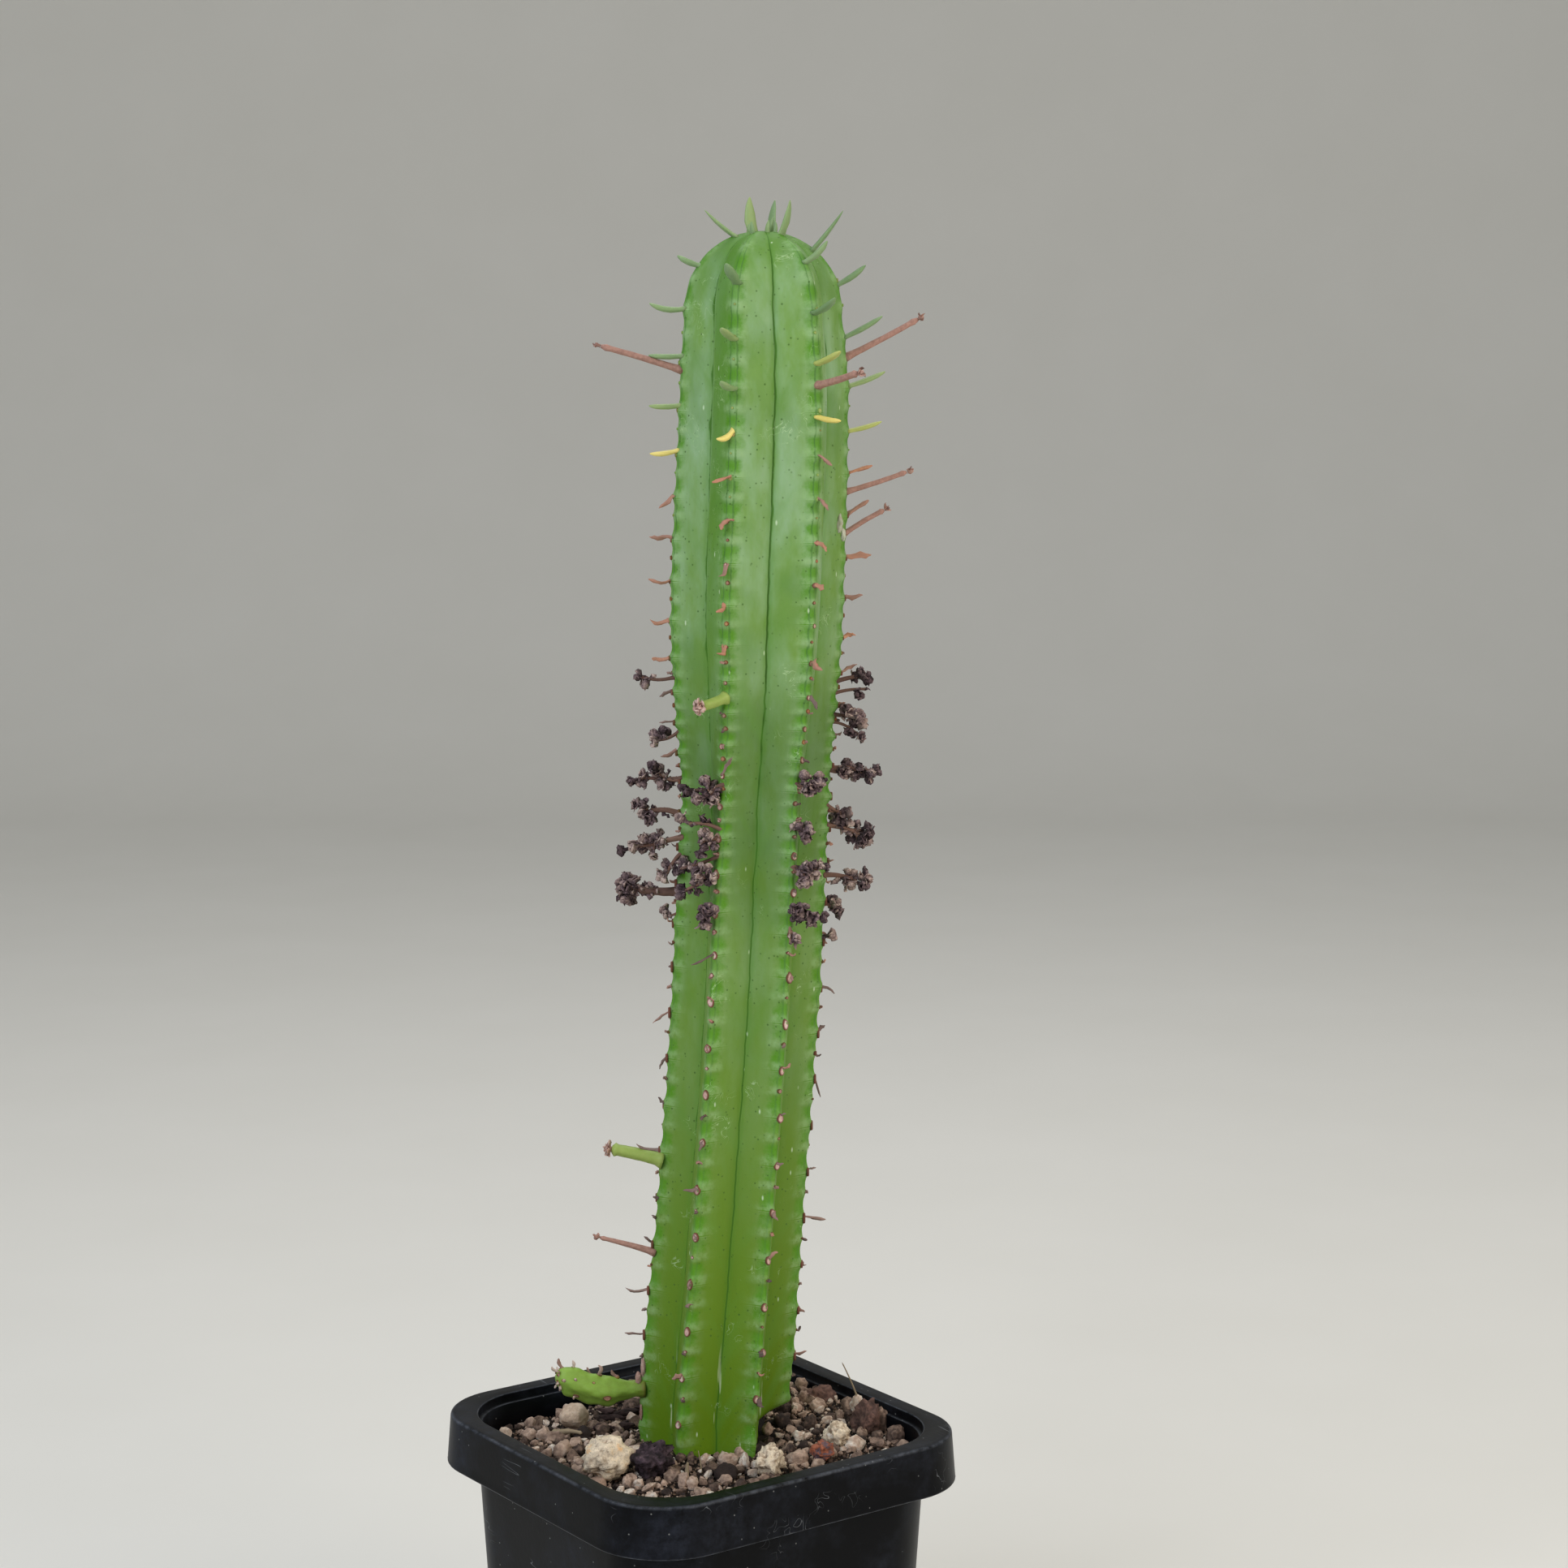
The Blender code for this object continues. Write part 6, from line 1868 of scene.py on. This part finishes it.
# Corky marks: rib and height above the rim, place across the crest and out of it, half width, half
# height and half thickness, all in millimetres, then tone and seed
CORK_MARKS = (
    (RIGHT, 155.6, -2.2, -0.35, 1.3, 1.7, 0.7, 0.6, 1), (RIGHT, 153.6, -1.3, -0.2, 0.9, 1.1, 0.55, 0.8, 2),
    (LEFT, 8.6, 0.2, 0.0, 0.7, 1.8, 0.45, 0.3, 3), (LEFT, 6.6, 0.1, 0.2, 1.1, 1.2, 0.6, 0.2, 4),
    (LEFT, 0.6, 0.2, 0.0, 0.5, 1.6, 0.3, 0.15, 5),
)
# Straws: foot and tip right, back and above the rim, and radius at the foot, in millimetres
STRAWS = (
    ((28.8, 11.2, -2.0), (25.4, 11.0, 6.3), 0.2), ((0.4, -13.4, -MIX_DROP), (-0.2, -13.2, -1.2), 0.14),
    ((-2.2, -15.6, -MIX_DROP), (-2.0, -15.6, -2.4), 0.42),
    ((-25.6, 7.4, -MIX_DROP + 0.2), (-20.6, 3.6, -MIX_DROP + 1.6), 0.6),
)


class OBJECT_OT_euphorbia_marks(bpy.types.Operator):
    """Add the corky wound on the right rib, the cork at the stem's foot and the straw in the mix."""

    bl_idname = "object.euphorbia_marks"
    bl_label = "Cork and Straw"

    def execute(self, context):
        cork = tissue_material("Corky wound tissue", ((0.0, "8a6255"), (0.35, "b79a8e"), (0.6, "a9ad97"),
                                                      (1.0, "d3d3c4")), 0.6, 0.85, 0.0, 0.9)
        bm = tone_mesh()
        for rib, height, across, out, wide, tall, thick, tone, seed in CORK_MARKS:
            before = len(bm.verts)
            bmesh.ops.create_icosphere(bm, subdivisions=3, radius=1.0)
            bm.verts.ensure_lookup_table()
            turn = turned(Vector((0, 0, 1)), outward(rib_turn(rib, height)))
            for vert in bm.verts[before:]:
                worn = 1 + 0.3 * noise.noise(vert.co * 2.2 + Vector((seed * 4.0, 0, 0)))
                local = Vector((vert.co.x * wide, vert.co.y * thick, vert.co.z * tall)) * worn
                vert.co = skin_at(rib, height, across, -out)[0] + turn @ (local * MM)
            toned(bm, [bm.verts[before:]], tone)
        keep(mesh_object("cork_marks", bm, cork), "brown_stalk")

        straw = tissue_material("Dry straw", ((0.0, "6b5a45"), (0.5, "8f7f67"), (1.0, "b5a68c")), 1.5, 0.8)
        bm = tone_mesh()
        for foot, tip, radius in STRAWS:
            stalk(bm, from_plant(*foot), from_plant(*tip), radius, radius * 0.4, 0.4, 0.5, 3)
        keep(mesh_object("straw", bm, straw), "potting_mix")
        return {"FINISHED"}


# ---------------------------------------------------------------- stage

class EuphorbiaStageSettings(bpy.types.PropertyGroup):
    """Floor, light and camera."""

    lens: FloatProperty(name="Lens", description="Focal length on a 36 mm sensor", default=74.53, min=20,
                        unit="CAMERA")
    floor: FloatVectorProperty(name="Floor", description="Colour of the floor", subtype="COLOR",
                               default=rgb("dedcd6"), min=0, max=1)
    key: FloatProperty(name="Key light", description="Power of the big soft light", default=4.0, min=0,
                       subtype="POWER")
    fill: FloatProperty(name="Fill light", description="Power of the light on the right", default=3.7, min=0,
                        subtype="POWER")


class OBJECT_OT_euphorbia_stage(bpy.types.Operator):
    """Set up the pale floor, the soft light and the camera."""

    bl_idname = "object.euphorbia_stage"
    bl_label = "Stage"

    def execute(self, context):
        scene = context.scene
        look = scene.euphorbia_stage
        bm = bmesh.new()
        reach, bend, depth = 2.4, 0.35, 1.5
        profile = [(-2.0, 0.0), (depth - bend, 0.0)]
        profile += [(depth - bend + bend * math.sin(a), bend * (1 - math.cos(a)))
                    for a in (math.pi / 2 * i / 24 for i in range(1, 25))]
        profile.append((depth, 2.6))
        view = outward(math.radians(180.0))
        side = Vector((view.y, -view.x, 0))
        rows = []
        for along, up in profile:
            rows.append([bm.verts.new(view * along + side * across + Vector((0, 0, up)))
                         for across in (-reach, reach)])
        for low, high in zip(rows, rows[1:]):
            bm.faces.new((low[0], low[1], high[1], high[0]))
        paper, tree, shader = new_material("Matt paper backdrop", 0.9)
        shade = add(tree, "ShaderNodeTexNoise", {"Vector": add(tree, "ShaderNodeTexCoord").outputs["Object"],
                                                 "Scale": per(60.0), "Detail": 3.0})
        tint = painted(tree, (*look.floor, 1), ((shade, "e3e1dc"),))
        tree.links.new(tint.outputs[2], shader.inputs["Base Color"])
        mesh_object("floor", bm, paper)

        world = bpy.data.worlds.new("Soft studio")
        world.use_nodes = True
        world.node_tree.nodes["Background"].inputs["Color"].default_value = linear("ecefef")
        world.node_tree.nodes["Background"].inputs["Strength"].default_value = 0.42
        scene.world = world
        heart = Vector((0, 0, 0.15))
        lights = (("key", -38.0, 34.0, 0.8, 0.55, look.key, "eef5ff"),
                  ("fill", 54.0, 24.0, 0.85, 0.6, look.fill, "fff5e4"),
                  ("top", 170.0, 60.0, 0.8, 0.45, 0.6 * look.fill, "ffffff"))
        for name, turn, rise, distance, size, power, tint in lights:
            lamp = bpy.data.lights.new(name, "AREA")
            lamp.energy = power
            lamp.color = rgb(tint)
            lamp.size = size
            holder = bpy.data.objects.new(name, lamp)
            scene.collection.objects.link(holder)
            ray = outward(math.radians(turn), math.radians(rise))
            holder.location = heart + ray * distance
            holder.rotation_mode = "QUATERNION"
            holder.rotation_quaternion = ray.to_track_quat("Z", "Y")

        camera = bpy.data.objects.new("camera", bpy.data.cameras.new("camera"))
        scene.collection.objects.link(camera)
        camera.data.lens = look.lens
        camera.data.sensor_width = 36.0
        camera.data.clip_start = 0.01
        camera.location = from_plant(0.0, -546.0, 186.0)
        look_down, look_right = math.radians(7.76), math.radians(1.55)
        aim = outward(math.pi - look_right, -look_down)
        camera.rotation_mode = "QUATERNION"
        camera.rotation_quaternion = aim.to_track_quat("-Z", "Y")
        scene.camera = camera
        scene.view_settings.view_transform = "Standard"
        return {"FINISHED"}


# ---------------------------------------------------------------- panel and run

class VIEW3D_PT_euphorbia(bpy.types.Panel):
    """Buttons and settings for each piece of the plant."""

    bl_label = "Potted Euphorbia"
    bl_idname = "VIEW3D_PT_euphorbia"
    bl_space_type = "VIEW_3D"
    bl_region_type = "UI"
    bl_category = "Euphorbia"

    def draw(self, context):
        for name, group in SETTINGS.items():
            box = self.layout.box()
            box.label(text=group.__doc__)
            for key in group.__annotations__:
                box.prop(getattr(context.scene, name), key)
        for made in OPERATORS:
            self.layout.operator(made.bl_idname)


SETTINGS = {
    "euphorbia_stage": EuphorbiaStageSettings,
    "euphorbia_pot": EuphorbiaPotSettings,
    "euphorbia_soil": EuphorbiaSoilSettings,
    "euphorbia_stem": EuphorbiaStemSettings,
}
OPERATORS = (
    OBJECT_OT_euphorbia_stage, OBJECT_OT_euphorbia_pot, OBJECT_OT_euphorbia_mix, OBJECT_OT_euphorbia_stones,
    OBJECT_OT_euphorbia_stem, OBJECT_OT_euphorbia_scars, OBJECT_OT_euphorbia_leaves,
    OBJECT_OT_euphorbia_dried_leaves, OBJECT_OT_euphorbia_stalks, OBJECT_OT_euphorbia_dried_flowers,
    OBJECT_OT_euphorbia_shoot, OBJECT_OT_euphorbia_marks,
)


def register():
    for made in (*SETTINGS.values(), *OPERATORS, VIEW3D_PT_euphorbia):
        bpy.utils.register_class(made)
    for name, group in SETTINGS.items():
        setattr(bpy.types.Scene, name, PointerProperty(type=group))


def unregister():
    for name in SETTINGS:
        delattr(bpy.types.Scene, name)
    for made in reversed((*SETTINGS.values(), *OPERATORS, VIEW3D_PT_euphorbia)):
        bpy.utils.unregister_class(made)


def main():
    register()
    bpy.ops.object.euphorbia_stage()
    bpy.ops.object.euphorbia_pot()
    bpy.ops.object.euphorbia_mix()
    bpy.ops.object.euphorbia_stones()
    bpy.ops.object.euphorbia_stem()
    bpy.ops.object.euphorbia_scars()
    bpy.ops.object.euphorbia_leaves()
    bpy.ops.object.euphorbia_dried_leaves()
    bpy.ops.object.euphorbia_stalks()
    bpy.ops.object.euphorbia_dried_flowers()
    bpy.ops.object.euphorbia_shoot()
    bpy.ops.object.euphorbia_marks()


if __name__ == "__main__":
    main()
